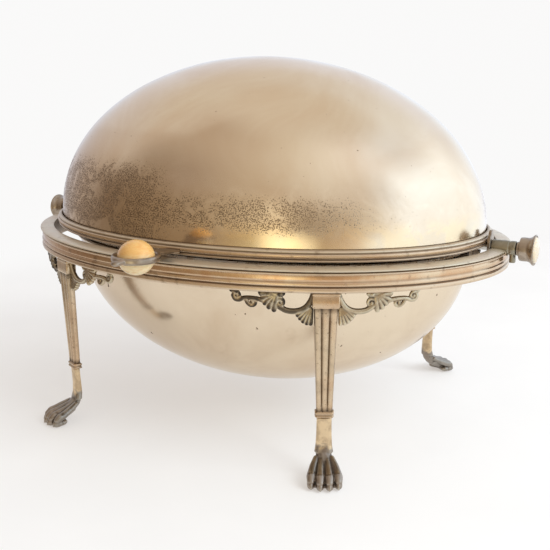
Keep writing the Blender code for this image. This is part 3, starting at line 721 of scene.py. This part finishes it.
def drainer_mesh():
    """A flat pierced plate with an upturned rim."""
    low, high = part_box("drainer")
    a, b = high.x, (high.y - low.y) / 2
    wall, stretch = DRAINER_WALL, a / b
    curve = bpy.data.curves.new("pierced", "CURVE")
    curve.dimensions = "2D"
    curve.fill_mode = "BOTH"
    curve.extrude = wall / 2
    turn = full_turn(160)
    loops = [np.stack(((a - wall * stretch) * np.cos(turn), (b - wall) * np.sin(turn)), 1)]
    ring = full_turn(28)
    for reach, count in DRAINER_ROWS:
        for i in range(count):
            angle = math.tau * (i + 0.5) / count
            middle = np.array((reach * stretch * math.cos(angle), reach * math.sin(angle)))
            loops.append(middle + DRAINER_HOLE_R * np.stack((np.cos(ring), np.sin(ring)), 1))
    for loop in loops:
        spline = curve.splines.new("POLY")
        spline.points.add(len(loop) - 1)
        spline.use_cyclic_u = True
        for point, spot in zip(spline.points, loop):
            point.co = (*spot, 0.0, 1.0)
    source = add("pierced", curve)
    graph = bpy.context.evaluated_depsgraph_get()
    mesh = bpy.data.meshes.new_from_object(source.evaluated_get(graph))
    bpy.data.objects.remove(source)
    bpy.data.curves.remove(curve)
    points = [(v.co.x, v.co.y + DISH_Y, v.co.z + low.z + wall / 2) for v in mesh.vertices]
    faces = [tuple(p.vertices) for p in mesh.polygons]
    bpy.data.meshes.remove(mesh)
    rim = soften(((b - wall, low.z + 0.1 * MM), (b, low.z), (b, high.z), (b - wall, high.z)), 1, closed=True)
    edge = lathe(rim[:, 0], rim[:, 1], turn, (0.0, DISH_Y, 0.0), stretch)
    start = len(points)
    faces += [tuple(i + start for i in f) for f in grid_faces(len(turn), len(rim), True, True)]
    return mesh_of("pierced_drainer", [*points, *edge], faces, 30)


link("pierced_drainer", drainer_mesh(), LINER_PLATE, "drainer", ["drainer"], "liner_plate")


# Legs, paws and scroll brackets.

LEG_WIDTH_POINTS = 53
RIB_MIDDLES = (-0.68, 0.0, 0.68)  # as shares of the half width, like the next
RIB_HALF_WIDTH = 0.36
SHAFT_TOP, SHAFT_FOOT = 96.4, 38.6
FLUTE_DEPTH = 1.7


def leg_outline(z, width, depth, centre, flute, square):
    """Flat back and three rounded ribs in front, parted by two flutes."""
    u = np.linspace(1, -1, LEG_WIDTH_POINTS)
    rib = np.zeros_like(u)
    for middle in RIB_MIDDLES:
        rib = np.maximum(rib, np.sqrt(np.clip(1 - ((u - middle) / RIB_HALF_WIDTH) ** 2, 0, 1)))
    groove = (1 - rib) * flute
    corner = np.clip((np.abs(u) - square) / (1 - square), 0, 1)
    front = centre + depth / 2 - groove - depth * 0.35 * corner**2
    back = centre - depth / 2
    x = np.concatenate((u * width / 2, (-width / 2, width / 2)))
    y = np.concatenate((front, (back, back)))
    grime = np.concatenate((np.clip(groove / max(flute, 1e-6), 0, 1) * (flute > 0.1), (0.4, 0.4)))
    grime[[0, LEG_WIDTH_POINTS - 1]] = 0.0
    return np.stack((x, y, np.full_like(x, z)), 1), grime


def leg_sections():
    top = LEG_TOP_Z / MM
    for z, width, depth, centre, flute in (
        (top, 14.6, 5.8, -3.6, 0.0),
        (top - 0.25, 15.1, 6.2, -3.6, 0.0),
        (top - 1.0, 15.1, 6.2, -3.6, 0.0),
        (top - 1.3, 14.5, 5.7, -3.6, 0.0),
        (top - 1.6, 14.9, 6.1, -3.6, 0.0),
        (97.9, 15.0, 6.1, -3.6, 0.0), (97.4, 14.6, 5.7, -3.55, 0.0), (96.9, 13.2, 4.8, -3.4, 0.2),
    ):
        yield leg_outline(z, width, depth, centre, flute, 0.94)
    for share in np.linspace(0, 1, 24):
        z = SHAFT_TOP - share * (SHAFT_TOP - SHAFT_FOOT)
        flute = FLUTE_DEPTH * min(1.0, share * 9 + 0.3, (1 - share) * 12 + 0.15) * (1 - 0.2 * share)
        yield leg_outline(z, 12.9 - 4.0 * share, 4.5 - 0.8 * share, -3.3 - 2.1 * share, flute, 0.9)
    for z, width, depth in (
        (38.3, 8.9, 3.9), (38.1, 10.0, 4.7), (37.7, 10.5, 5.1), (36.9, 10.4, 5.0), (36.5, 9.7, 4.5),
        (36.1, 9.7, 4.5), (35.8, 10.3, 5.0), (35.2, 10.4, 5.1), (34.9, 10.0, 4.8), (34.7, 9.2, 4.2),
    ):
        yield leg_outline(z, width, depth, -5.5, 0.0, 0.8)


def stack(sections):
    """Closed outlines one above another, with both ends filled."""
    rows = list(sections)
    count = len(rows[0][0])
    points = np.concatenate([row[0] for row in rows]) * MM
    grime = np.concatenate([row[1] for row in rows])
    faces = grid_faces(len(rows), count, False, True)
    faces += [tuple(range(count)), tuple(range(count * (len(rows) - 1), count * len(rows)))]
    return points, faces, grime


def placed(points, angle):
    """Points given across, outward and up from the rim's outer edge, stood at one leg."""
    base, out = oval(RIM_A, RIM_B, np.array([angle]))
    across = np.array((out[0][1], -out[0][0]))
    flat = base[0] + points[:, :1] * across + points[:, 1:2] * out[0]
    return np.column_stack((flat[:, 0], flat[:, 1] + DISH_Y, points[:, 2]))


def collar_grime(points, grime):
    """Tarnish in the collar's waist and just under the block."""
    z = points[:, 2] / MM
    waist = np.clip(1 - np.abs(z - 36.3) / 0.8, 0, 1) * 0.45
    under = np.clip(1 - np.abs(z - 96.7) / 0.7, 0, 1) * 0.8
    seam = np.clip(1 - np.abs(z - 38.5) / 0.5, 0, 1) * 0.8
    return np.clip(grime + waist + under + seam, 0, 1)


LEG_POINTS, LEG_FACES, LEG_GRIME = stack(leg_sections())
LEG_GRIME = collar_grime(LEG_POINTS, LEG_GRIME)


PAW_VOXEL = 0.34
PAW_ANKLE = (
    # up, width, depth, centre outward
    (34.4, 7.4, 3.7, -5.7), (30.0, 7.4, 3.6, -5.9), (24.0, 7.6, 3.7, -6.2), (18.0, 8.2, 4.2, -6.2),
    (14.0, 9.4, 4.6, -5.4),
)
TOE_PATHS = ((-1, 12.6), (-0.34, 14.4), (0.34, 14.4), (1, 12.6))  # place across the foot, reach outward


def ankle_solid():
    """The flat-faced ankle, with its corners taken off."""
    corner = soften(((1, 1), (-1, 1), (-1, -1), (1, -1)), 2, closed=True)
    points = [
        (x * width * 0.56, centre + y * depth * 0.56, up)
        for up, width, depth, centre in PAW_ANKLE
        for x, y in corner
    ]
    count, last = len(corner), len(corner) * (len(PAW_ANKLE) - 1)
    faces = grid_faces(len(PAW_ANKLE), count, False, True)
    return points, [*faces, tuple(range(count)), tuple(range(last, last + count))]


def paw():
    """A lion's paw: flat ankle, broad sloping instep, and four rounded toes with small claws."""
    balls = chain(((0, -6.0, 16.5), (0, -4.6, 12.4), (0, -0.4, 8.8)), (1.0, 1.15), flat=(4.3, 2.5, 2.8))
    balls += chain(((0, -0.4, 8.8), (0, 5.0, 5.9), (0, 9.6, 4.2)), (1.0, 1.0), flat=(6.4, 3.6, 3.0))
    balls += chain(((-6.0, 8.2, 2.4), (0, 9.4, 2.6), (6.0, 8.2, 2.4)), (1.0, 1.0), flat=(3.0, 4.2, 2.3))
    for side, reach in TOE_PATHS:
        x = side * 7.1
        balls += chain(((x * 0.62, -2.6, 11.6), (x * 0.84, 2.4, 9.0)), (1.6, 2.2), spacing=0.2)
        balls += chain(((x * 0.84, 2.4, 9.0), (x * 0.97, reach - 6.0, 7.0)), (2.2, 2.5), spacing=0.2)
        balls += chain(
            ((x * 0.98, reach - 5.8, 6.9), (x * 1.02, reach - 3.6, 6.2), (x * 1.03, reach - 1.4, 4.6)),
            (2.5, 2.7, 2.35),
            spacing=0.2,
        )
        balls += chain(((x * 1.03, reach - 2.6, 2.7), (x * 1.04, reach - 0.8, 2.5)), (2.4, 2.2), spacing=0.2)
        balls += chain(((x * 1.04, reach + 0.2, 3.2), (x * 1.04, reach + 1.3, 1.6)), (1.3, 0.75), spacing=0.2)
    points, quads = fuse("paw", balls, PAW_VOXEL, 3, [ankle_solid()])
    points[:, 2] = np.clip(points[:, 2], 0.0, PAW_TOP_Z / MM)
    return points * MM, quads


PAW_POINTS, PAW_QUADS = paw()


SCROLL_VOXEL = 0.33
SCROLL_BACK = 4.0  # how far the brackets stand in from the rim's outer edge
STROKE = 1.15  # how much fuller the castings' strokes are than the thread of each curve


def scroll_balls():
    """One bracket laid flat: along the rim, through, and down from the rim's underside."""

    def path(points, radii, **more):
        return chain([(s, 0.0, d) for s, d in points], [r * STROKE for r in radii], **more)

    stem = ((-0.8, 1.0), (0.6, 4.6), (3.0, 7.9), (6.4, 9.9), (10.4, 10.5), (14.2, 10.0), (17.2, 8.5))
    balls = path(stem, (1.5, 1.45))
    curl = (
        (17.2, 8.5), (19.1, 6.9), (19.3, 4.9), (17.8, 3.7),
        (15.9, 4.2), (15.3, 5.9), (16.4, 7.1), (17.5, 6.2),
    )
    balls += path(curl, (1.45, 1.1, 0.8, 1.2), spacing=0.2)
    for tip, size in (
        ((16.6, 1.6), 1.2),
        ((20.6, 10.0), 1.3),
        ((23.4, 8.6), 1.3),
        ((25.6, 6.6), 1.25),
        ((27.2, 4.2), 1.2),
        ((27.8, 1.6), 1.1),
    ):
        root = (19.0 + (tip[0] - 19.0) * 0.15, 2.0)
        middle = (root[0] * 0.5 + tip[0] * 0.5, (root[1] + tip[1]) * 0.5 - 0.5)
        balls += path((root, middle, tip), (1.2, 1.5, size), flat=(1.0, 1.1, 1.0))
    balls += path(((15.8, 0.9), (22.0, 0.9), (28.0, 0.9)), (1.3, 1.3))
    vine = ((26.4, 5.4), (29.6, 4.5), (33.2, 4.2), (37.2, 4.4), (40.2, 5.6), (42.4, 5.2), (43.5, 3.4))
    balls += path(vine, (1.15, 1.1))
    tip_curl = ((43.5, 3.4), (42.7, 1.7), (40.7, 1.5), (39.7, 3.1), (40.7, 4.3), (41.7, 3.4))
    balls += path(tip_curl, (1.1, 0.7, 1.0), spacing=0.2)
    balls += path(((41.4, 1.0), (43.4, 0.9), (44.9, 0.8)), (1.2, 0.7))
    tendril = (
        (36.4, 5.0), (35.4, 7.0), (33.6, 8.3), (31.5, 8.0),
        (30.7, 6.5), (31.7, 5.4), (33.1, 6.0), (32.9, 7.0),
    )
    balls += path(tendril, (1.0, 0.95, 0.7, 0.9), spacing=0.2)
    for s, d in ((0.6, 17.0), (2.7, 16.8), (4.7, 15.8), (6.3, 14.2), (7.6, 12.5)):
        start = (-0.2 + s * 0.25, 8.2 + (d - 12) * 0.12)
        middle = ((start[0] + s) / 2, (start[1] + d) / 2)
        balls += path((start, middle, (s, d)), (0.7, 1.0, 1.15), flat=(1.0, 1.25, 1.0))
    balls += chain(((1.0, -0.5, 10.0), (3.0, -0.5, 13.0)), (2.0, 2.2), flat=(1.0, 0.4, 1.0))
    return balls


SCROLL_POINTS, SCROLL_QUADS = fuse("scroll", scroll_balls(), SCROLL_VOXEL, 2)


def bent_scroll(angle, side):
    """The flat bracket bent along the rim, from the block outwards on one side."""
    walk = np.linspace(0, 0.5, 400) * side
    spots, _ = oval(RIM_A, RIM_B, angle + walk)
    run = np.concatenate(([0], np.cumsum(np.linalg.norm(np.diff(spots, axis=0), axis=1))))
    along = BLOCK_HALF_WIDTH + SCROLL_POINTS[:, 0] * MM
    turn = angle + side * np.interp(np.maximum(along, 0), run, np.abs(walk))
    base, out = oval(RIM_A, RIM_B, turn)
    flat = base + out * (SCROLL_POINTS[:, 1:2] - SCROLL_BACK) * MM
    z = np.minimum(RIM_Z - GAP, RIM_Z - GAP - SCROLL_POINTS[:, 2] * MM)
    return np.column_stack((flat[:, 0], flat[:, 1] + DISH_Y, z))


for corner, angle in CORNERS.items():
    name = f"fluted_leg_{corner}"
    leg = mesh_of(name, placed(LEG_POINTS, angle), LEG_FACES, 50, grime=LEG_GRIME, wear=LEG_GRIME * 0)
    link(name, leg, CAST, "frame", [f"leg_{corner}"], "cast_plate")
    name, points = f"lion_paw_{corner}", placed(PAW_POINTS, angle)
    cast_piece(name, points, PAW_QUADS, PAW_METAL, "frame", [f"paw_{corner}"], "dark_plate", 9.0)
    for label, side in (("a", 1), ("b", -1)):
        name = f"acanthus_scroll_{label}_{corner}"
        replaced = [f"scroll_{label}_{corner}"]
        points = bent_scroll(angle, side)
        cast_piece(name, points, SCROLL_QUADS, SCROLL, "frame", replaced, "cast_plate", 13.0)


# Pivots. Profiles are (radius, along) in millimetres from each piece's inner end outwards.

BARREL = (
    (2.8, 0.0), (3.9, 0.0), (4.3, 0.4), (4.3, 9.4), (4.0, 9.7), (4.0, 10.4), (4.3, 10.7), (4.3, 13.3),
    (4.0, 13.9), (2.8, 13.9), (2.8, 0.0),
)
SPINDLE = ((0.0, 0.0), (2.2, 0.0), (2.5, 0.3), (2.5, 34.6), (2.2, 35.0), (0.0, 35.0))
KNOB = (
    (2.8, 0.0), (4.1, 0.0), (4.2, 1.5), (6.3, 1.7), (6.9, 2.2), (6.9, 5.6), (6.8, 6.2), (7.1, 7.4),
    (8.0, 8.7), (8.9, 9.5), (8.9, 10.2), (8.6, 10.4), (8.0, 10.4), (8.0, 9.6), (0.0, 9.6), (0.0, 7.2),
    (2.8, 7.2), (2.8, 0.0),
)
DISC = ((0.0, 2.2), (4.0, 1.95), (6.4, 1.4), (7.3, 0.9), (7.7, 0.3), (7.6, 0.0), (0.0, 0.0))
PIN = ((0.0, 0.0), (0.7, 0.0), (0.9, 0.2), (0.9, 25.2), (0.7, 25.4), (0.0, 25.4))
EAR_EDGE = 0.25 * MM
EAR_HOLE = 2.8 * MM
BRACKET_DEPTH = 3.4 * MM
BRACKET_HALF_WIDTHS = (2.5, 3.0, 3.0, 3.0)


def inner_end(node, side):
    """The middle of the end that faces the dish, for a node on the pivot axis."""
    low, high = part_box(node)
    return (low.x if side > 0 else high.x, DISH_Y, AXIS_Z)


def ear(name, node, side, outline):
    """An upright plate across the pivot axis, its (across, up) outline in millimetres from the axis."""
    low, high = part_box(node)
    near, far = sorted((low.x, high.x), key=abs)
    loop = soften(outline, 3, closed=True) * MM
    reach = np.hypot(loop[:, 0], loop[:, 1])[:, None]
    ray = loop / reach
    section = []
    for x, radii in (
        (near, EAR_HOLE),
        (near, reach - EAR_EDGE),
        (near + side * EAR_EDGE, reach),
        (far - side * EAR_EDGE, reach),
        (far, reach - EAR_EDGE),
        (far, EAR_HOLE),
    ):
        flat = ray * radii
        section.append(np.column_stack((np.full(len(loop), x), DISH_Y + flat[:, 0], AXIS_Z + flat[:, 1])))
    points = np.stack(section, 1).reshape(-1, 3)
    return mesh_of(name, points, grid_faces(len(loop), len(section), True, True), 35)


def bracket(end):
    """The foot that runs from under the barrel down the rim's outer face."""
    side = ENDS[end]
    low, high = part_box(f"pivot_bearing_{end}")
    outer = max(abs(low.x), abs(high.x)) - GAP
    near, far = outer - BRACKET_DEPTH, outer
    corner = soften(((1, 1), (-1, 1), (-1, -1), (1, -1)), 2, closed=True) * 0.5 + 0.5
    rows = []
    ups = low.z, low.z + 0.4 * MM, AXIS_Z - 3.0 * MM, AXIS_Z - 2.6 * MM
    for up, spread in zip(ups, BRACKET_HALF_WIDTHS):
        for u, v in corner:
            rows.append((side * (near + (far - near) * u), DISH_Y + (2 * v - 1) * spread * MM, up))
    count = len(corner)
    return rows, [*grid_faces(4, count, False, True), tuple(range(count)), tuple(range(3 * count, 4 * count))]


def bearing(end):
    """Barrel and bracket in one piece."""
    side = ENDS[end]
    barrel = turned("barrel", BARREL, inner_end(f"pivot_bearing_{end}", side), side)
    points = [tuple(v.co) for v in barrel.vertices]
    faces = [tuple(f.vertices) for f in barrel.polygons]
    bpy.data.meshes.remove(barrel)
    extra, sides = bracket(end)
    faces += [tuple(i + len(points) for i in f) for f in sides]
    return mesh_of(f"bearing_{end}", [*points, *extra], faces, 35)


def ring_of(radius, low_deg, high_deg, steps, lift=0.0):
    turn = np.radians(np.linspace(low_deg, high_deg, steps))
    return [(radius * math.cos(a), radius * math.sin(a) + lift) for a in turn]


BOWL_EAR = [(6.0, -9.5), *ring_of(6.0, 0, 180, 13), (-6.0, -9.5), (0.0, -9.5)]
LID_EAR = [*ring_of(5.2, 200, 340, 9), (4.4, 6.2), *ring_of(2.6, 0, 180, 7, 7.2), (-4.4, 6.2)]

for end, side in ENDS.items():
    link(f"bearing_{end}", bearing(end), BARREL_METAL, "frame", [f"pivot_bearing_{end}"], "dull_plate")
    for label, node, profile, material, body, slot in (
        ("turned_knob", "knob", KNOB, DULL, "knob", "dull_plate"),
        ("inlaid_disc", "knob_disc", DISC, DISC_IVORY, "knob", "ivory"),
        ("pivot_spindle", "spindle", SPINDLE, STEEL, "screw", "spindle_metal"),
    ):
        mesh = turned(f"{label}_{end}", profile, inner_end(f"{node}_{end}", side), side)
        link(f"{label}_{end}", mesh, material, f"{body}_{end}", [f"{node}_{end}"], slot)
    for label, body, outline in (("bowl", "frame", BOWL_EAR), ("lid", "lid", LID_EAR)):
        mesh = ear(f"{label}_ear_{end}", f"{label}_lug_{end}", side, outline)
        link(f"{label}_ear_{end}", mesh, DULL, body, [f"{label}_lug_{end}"], "dull_plate")


# The cover's handle.

BALL_STEPS, BALL_ROWS = 72, 40

HANDLE_BORE = 10.55
STRAP_GAP = 3.8 * MM  # the strap starts this far out from the dome, on the moulding
STRAP_FOOT_Z = 121.6 * MM
RING_STEPS = 120


def ring_solid():
    profile = soften(((10.6, -1.75), (13.0, -1.75), (13.0, 1.75), (10.6, 1.75)), 1, closed=True)
    points = lathe(profile[:, 0], profile[:, 1], full_turn(RING_STEPS))
    return points, grid_faces(RING_STEPS, len(profile), True, True)


def handle():
    """Level ring round the ball with a small rounded tip, and a flat strap rising to it from the cover."""
    start_y = (DISH_Y - LID_B - STRAP_GAP - BALL.y) / MM
    low = (STRAP_FOOT_Z - BALL.z) / MM
    balls = []
    for x in np.linspace(-4.2, 4.2, 12):
        balls += chain(((x, 12.3, -0.1), (x, start_y, low)), (1.25, 1.05))
    balls += chain(((0, -12.4, 0), (0, -16.9, 0)), (1.0, 0.95), flat=(2.8, 2.8, 1.6), spacing=0.15)
    points, quads = fuse("handle", balls, 0.26, 2, [ring_solid()])
    inside = np.hypot(points[:, 0], points[:, 1])
    push = inside < HANDLE_BORE
    points[push, :2] *= (HANDLE_BORE / inside[push])[:, None]
    points[:, 1] = np.minimum(points[:, 1], start_y)
    return points * MM + np.array(BALL), quads


points, quads = handle()
cast_piece("ring_handle", points, quads, DULL, "lid", ["lid_handle"], "dull_plate")


def ball_mesh():
    polar = np.linspace(0, math.pi, BALL_ROWS)
    heights = BALL_R * BALL_FLATTENING * np.cos(polar)
    points = lathe(BALL_R * np.sin(polar), heights, full_turn(BALL_STEPS), BALL)
    return mesh_of("ivory_ball", points, grid_faces(BALL_STEPS, BALL_ROWS, True, False), 60)


link("ivory_ball", ball_mesh(), BALL_IVORY, "lid", ["handle_ball"], "ivory")
pin_start = (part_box("ball_pin")[0].x, BALL.y, BALL.z)
link("cross_pin", turned("cross_pin", PIN, pin_start, 1), DULL, "lid", ["ball_pin"], "dull_plate")


# The stage: a pale floor that fades into a white surround, and soft light from the right.


FLOOR_RADII = (0.0, 0.3, 0.8, 2.0, 6.0)
FLOOR_GLOW = (
    ("Specular IOR Level", 0.1),
    ("Emission Color", (0.470, 0.437, 0.412, 1.0)),
    ("Emission Strength", 1.0),
)


def floor():
    radii = np.array(FLOOR_RADII)
    points = lathe(radii, np.zeros_like(radii), full_turn(96))
    mesh = mesh_of("floor", points, grid_faces(96, len(radii), True, False))
    t = Look("pale_floor")
    tint = t.mix(t.step(t.noise(9, 3), 0.3, 0.7), (0.425, 0.46, 0.485), (0.445, 0.48, 0.505))
    t.finish(tint, 0.6, 0.0)
    for key, value in FLOOR_GLOW:
        t.shader.inputs[key].default_value = value
    far = t.nodes.new("ShaderNodeVectorMath")
    far.operation = "DISTANCE"
    t.links.new(t.place, far.inputs[0])
    far.inputs[1].default_value = TABLE_CENTRE
    glow = t.nodes.new("ShaderNodeEmission")
    glow.inputs["Color"].default_value = (*SURROUND, 1.0)
    clear = t.nodes.new("ShaderNodeBsdfTransparent")
    path = t.nodes.new("ShaderNodeLightPath")

    def blend(factor, first, second):
        node = t.nodes.new("ShaderNodeMixShader")
        t.links.new(factor, node.inputs["Fac"])
        t.links.new(first, node.inputs[1])
        t.links.new(second, node.inputs[2])
        return node.outputs["Shader"]

    beyond = blend(path.outputs["Is Camera Ray"], clear.outputs["BSDF"], glow.outputs["Emission"])
    whole = blend(t.step(far.outputs["Value"], *TABLE_EDGE), t.shader.outputs["BSDF"], beyond)
    t.links.new(whole, t.nodes["Material Output"].inputs["Surface"])
    mesh.materials.append(t.material)
    piece = add("floor", mesh)


SURROUND = (0.955, 0.950, 0.945)
TABLE_CENTRE = (0.15, 0.15, 0.0)
TABLE_EDGE = (0.50, 0.66)  # the pale table ends softly here; past it the floor only hides the horizon

# The room's light by direction: degrees round from the front towards the right, then red, green and blue.
# Dark furniture stands at the front left, and a wide window fills the right.
ROOM_BELOW = (
    (-180, 1.15, 1.25, 1.45), (-128, 0.72, 0.74, 0.84), (-100, 0.55, 0.50, 0.48),
    (-82, 0.34, 0.27, 0.22), (-60, 0.28, 0.21, 0.14), (-38, 0.36, 0.27, 0.18), (-18, 0.46, 0.35, 0.23),
    (-2, 0.66, 0.52, 0.28), (7, 1.90, 1.74, 1.25), (17, 1.70, 1.52, 1.00), (27, 0.55, 0.40, 0.24),
    (42, 0.85, 0.68, 0.48), (54, 1.25, 1.35, 1.35), (140, 1.25, 1.40, 1.55),
)
ROOM_LOW = (
    (-180, 1.05, 1.15, 1.30), (-143, 0.85, 0.92, 1.06), (-112, 0.66, 0.64, 0.70),
    (-88, 0.54, 0.47, 0.43), (-72, 0.25, 0.18, 0.13), (-50, 0.34, 0.26, 0.18), (-30, 0.45, 0.35, 0.25),
    (-8, 0.66, 0.54, 0.39), (7, 1.20, 1.08, 0.84), (21, 0.44, 0.36, 0.28), (38, 0.66, 0.55, 0.42),
    (55, 1.00, 0.98, 0.90), (72, 1.35, 1.50, 1.65), (145, 1.35, 1.48, 1.65),
)
ROOM_MIDDLE = (
    (-180, 0.93, 0.95, 1.05), (-135, 0.80, 0.79, 0.86), (-98, 0.71, 0.66, 0.65),
    (-76, 0.70, 0.63, 0.58), (-58, 0.43, 0.35, 0.28), (-36, 0.46, 0.37, 0.30), (-12, 0.62, 0.52, 0.41),
    (8, 0.72, 0.62, 0.51), (24, 0.85, 0.78, 0.69), (48, 0.86, 0.80, 0.74), (66, 0.98, 1.02, 1.08),
    (80, 1.40, 1.58, 1.80), (135, 1.35, 1.50, 1.70), (160, 1.02, 1.08, 1.18),
)
ROOM_HIGH = (
    (-180, 0.86, 0.84, 0.83), (-100, 0.76, 0.69, 0.61), (-70, 0.72, 0.63, 0.55),
    (-52, 0.61, 0.51, 0.42), (-20, 0.68, 0.58, 0.48), (8, 0.80, 0.71, 0.60), (38, 1.00, 0.95, 0.89),
    (66, 1.05, 1.03, 1.05), (100, 0.94, 0.97, 1.03), (150, 0.93, 0.94, 0.95),
)
ROOM_TOP = (0.79, 0.71, 0.62)
ROOM_JOINS = ((-8, 4), (8, 28), (30, 54))  # degrees up over which one ramp gives way to the next
ROOM_TOP_JOIN = (58, 80)
ROOM_SCALE = 2.0  # a colour ramp holds at most 1


def world():
    made = bpy.data.worlds.new("room")
    bpy.context.scene.world = made
    t = Tree(made)

    def ramp(stops):
        stops = (*stops, (180, *stops[0][1:]))  # the ends meet behind the dish
        node = t.nodes.new("ShaderNodeValToRGB")
        points = node.color_ramp.elements
        while len(points) < len(stops):
            points.new(0.5)
        for point, (degrees, *colour) in zip(points, stops):
            point.position = (degrees + 180) / 360
            point.color = (*(c / ROOM_SCALE for c in colour), 1.0)
        t.links.new(round_share, node.inputs["Fac"])
        return node.outputs["Color"]

    def above(low, high):
        """Runs from 0 to 1 between two heights in degrees."""
        return t.step(z, math.sin(math.radians(low)), math.sin(math.radians(high)))

    direction = t.nodes.new("ShaderNodeTexCoord").outputs["Generated"]
    split = t.nodes.new("ShaderNodeSeparateXYZ")
    t.links.new(direction, split.inputs["Vector"])
    x, y, z = split.outputs
    turn = t.plain("ARCTAN2", x, t.plain("MULTIPLY", y, -1.0))
    round_share = t.plain("ADD", t.plain("DIVIDE", turn, math.tau), 0.5)
    colour = ramp(ROOM_BELOW)
    for (low, high), stops in zip(ROOM_JOINS, (ROOM_LOW, ROOM_MIDDLE, ROOM_HIGH)):
        colour = t.mix(above(low, high), colour, ramp(stops))
    colour = t.mix(above(*ROOM_TOP_JOIN), colour, tuple(c / ROOM_SCALE for c in ROOM_TOP))
    path = t.nodes.new("ShaderNodeLightPath")
    seen = t.mix(path.outputs["Is Camera Ray"], colour, tuple(c / ROOM_SCALE for c in SURROUND))
    background = t.nodes["Background"]
    t.links.new(seen, background.inputs["Color"])
    background.inputs["Strength"].default_value = ROOM_SCALE


def light(name, place, aim, size, power, colour):
    data = bpy.data.lights.new(name, "AREA")
    data.shape = "RECTANGLE"
    data.size, data.size_y = size
    data.energy = power
    data.color = colour
    made = add(name, data)
    made.location = place
    made.rotation_euler = (Vector(aim) - Vector(place)).to_track_quat("-Z", "Y").to_euler()
    made.visible_glossy = False


CAMERA_PLACE = (0.26416, -0.49146 + DISH_Y, 0.21928)
CAMERA_AIM = (-0.44877, 0.86237, -0.23434)
LENS_MM, SENSOR_MM = 55.88, 36.0


def camera():
    data = bpy.data.cameras.new("camera")
    data.lens, data.sensor_width = LENS_MM, SENSOR_MM
    data.clip_start, data.clip_end = 0.01, 20.0
    made = add("camera", data)
    made.location = CAMERA_PLACE
    made.rotation_euler = Vector(CAMERA_AIM).to_track_quat("-Z", "Y").to_euler()
    bpy.context.scene.camera = made


floor()
world()
light("key", (0.95, -0.15, 0.85), (0.0, 0.0, 0.08), (0.7, 0.7), 9.0, (1.0, 0.99, 0.97))
camera()
bpy.context.scene.view_settings.view_transform = "Standard"
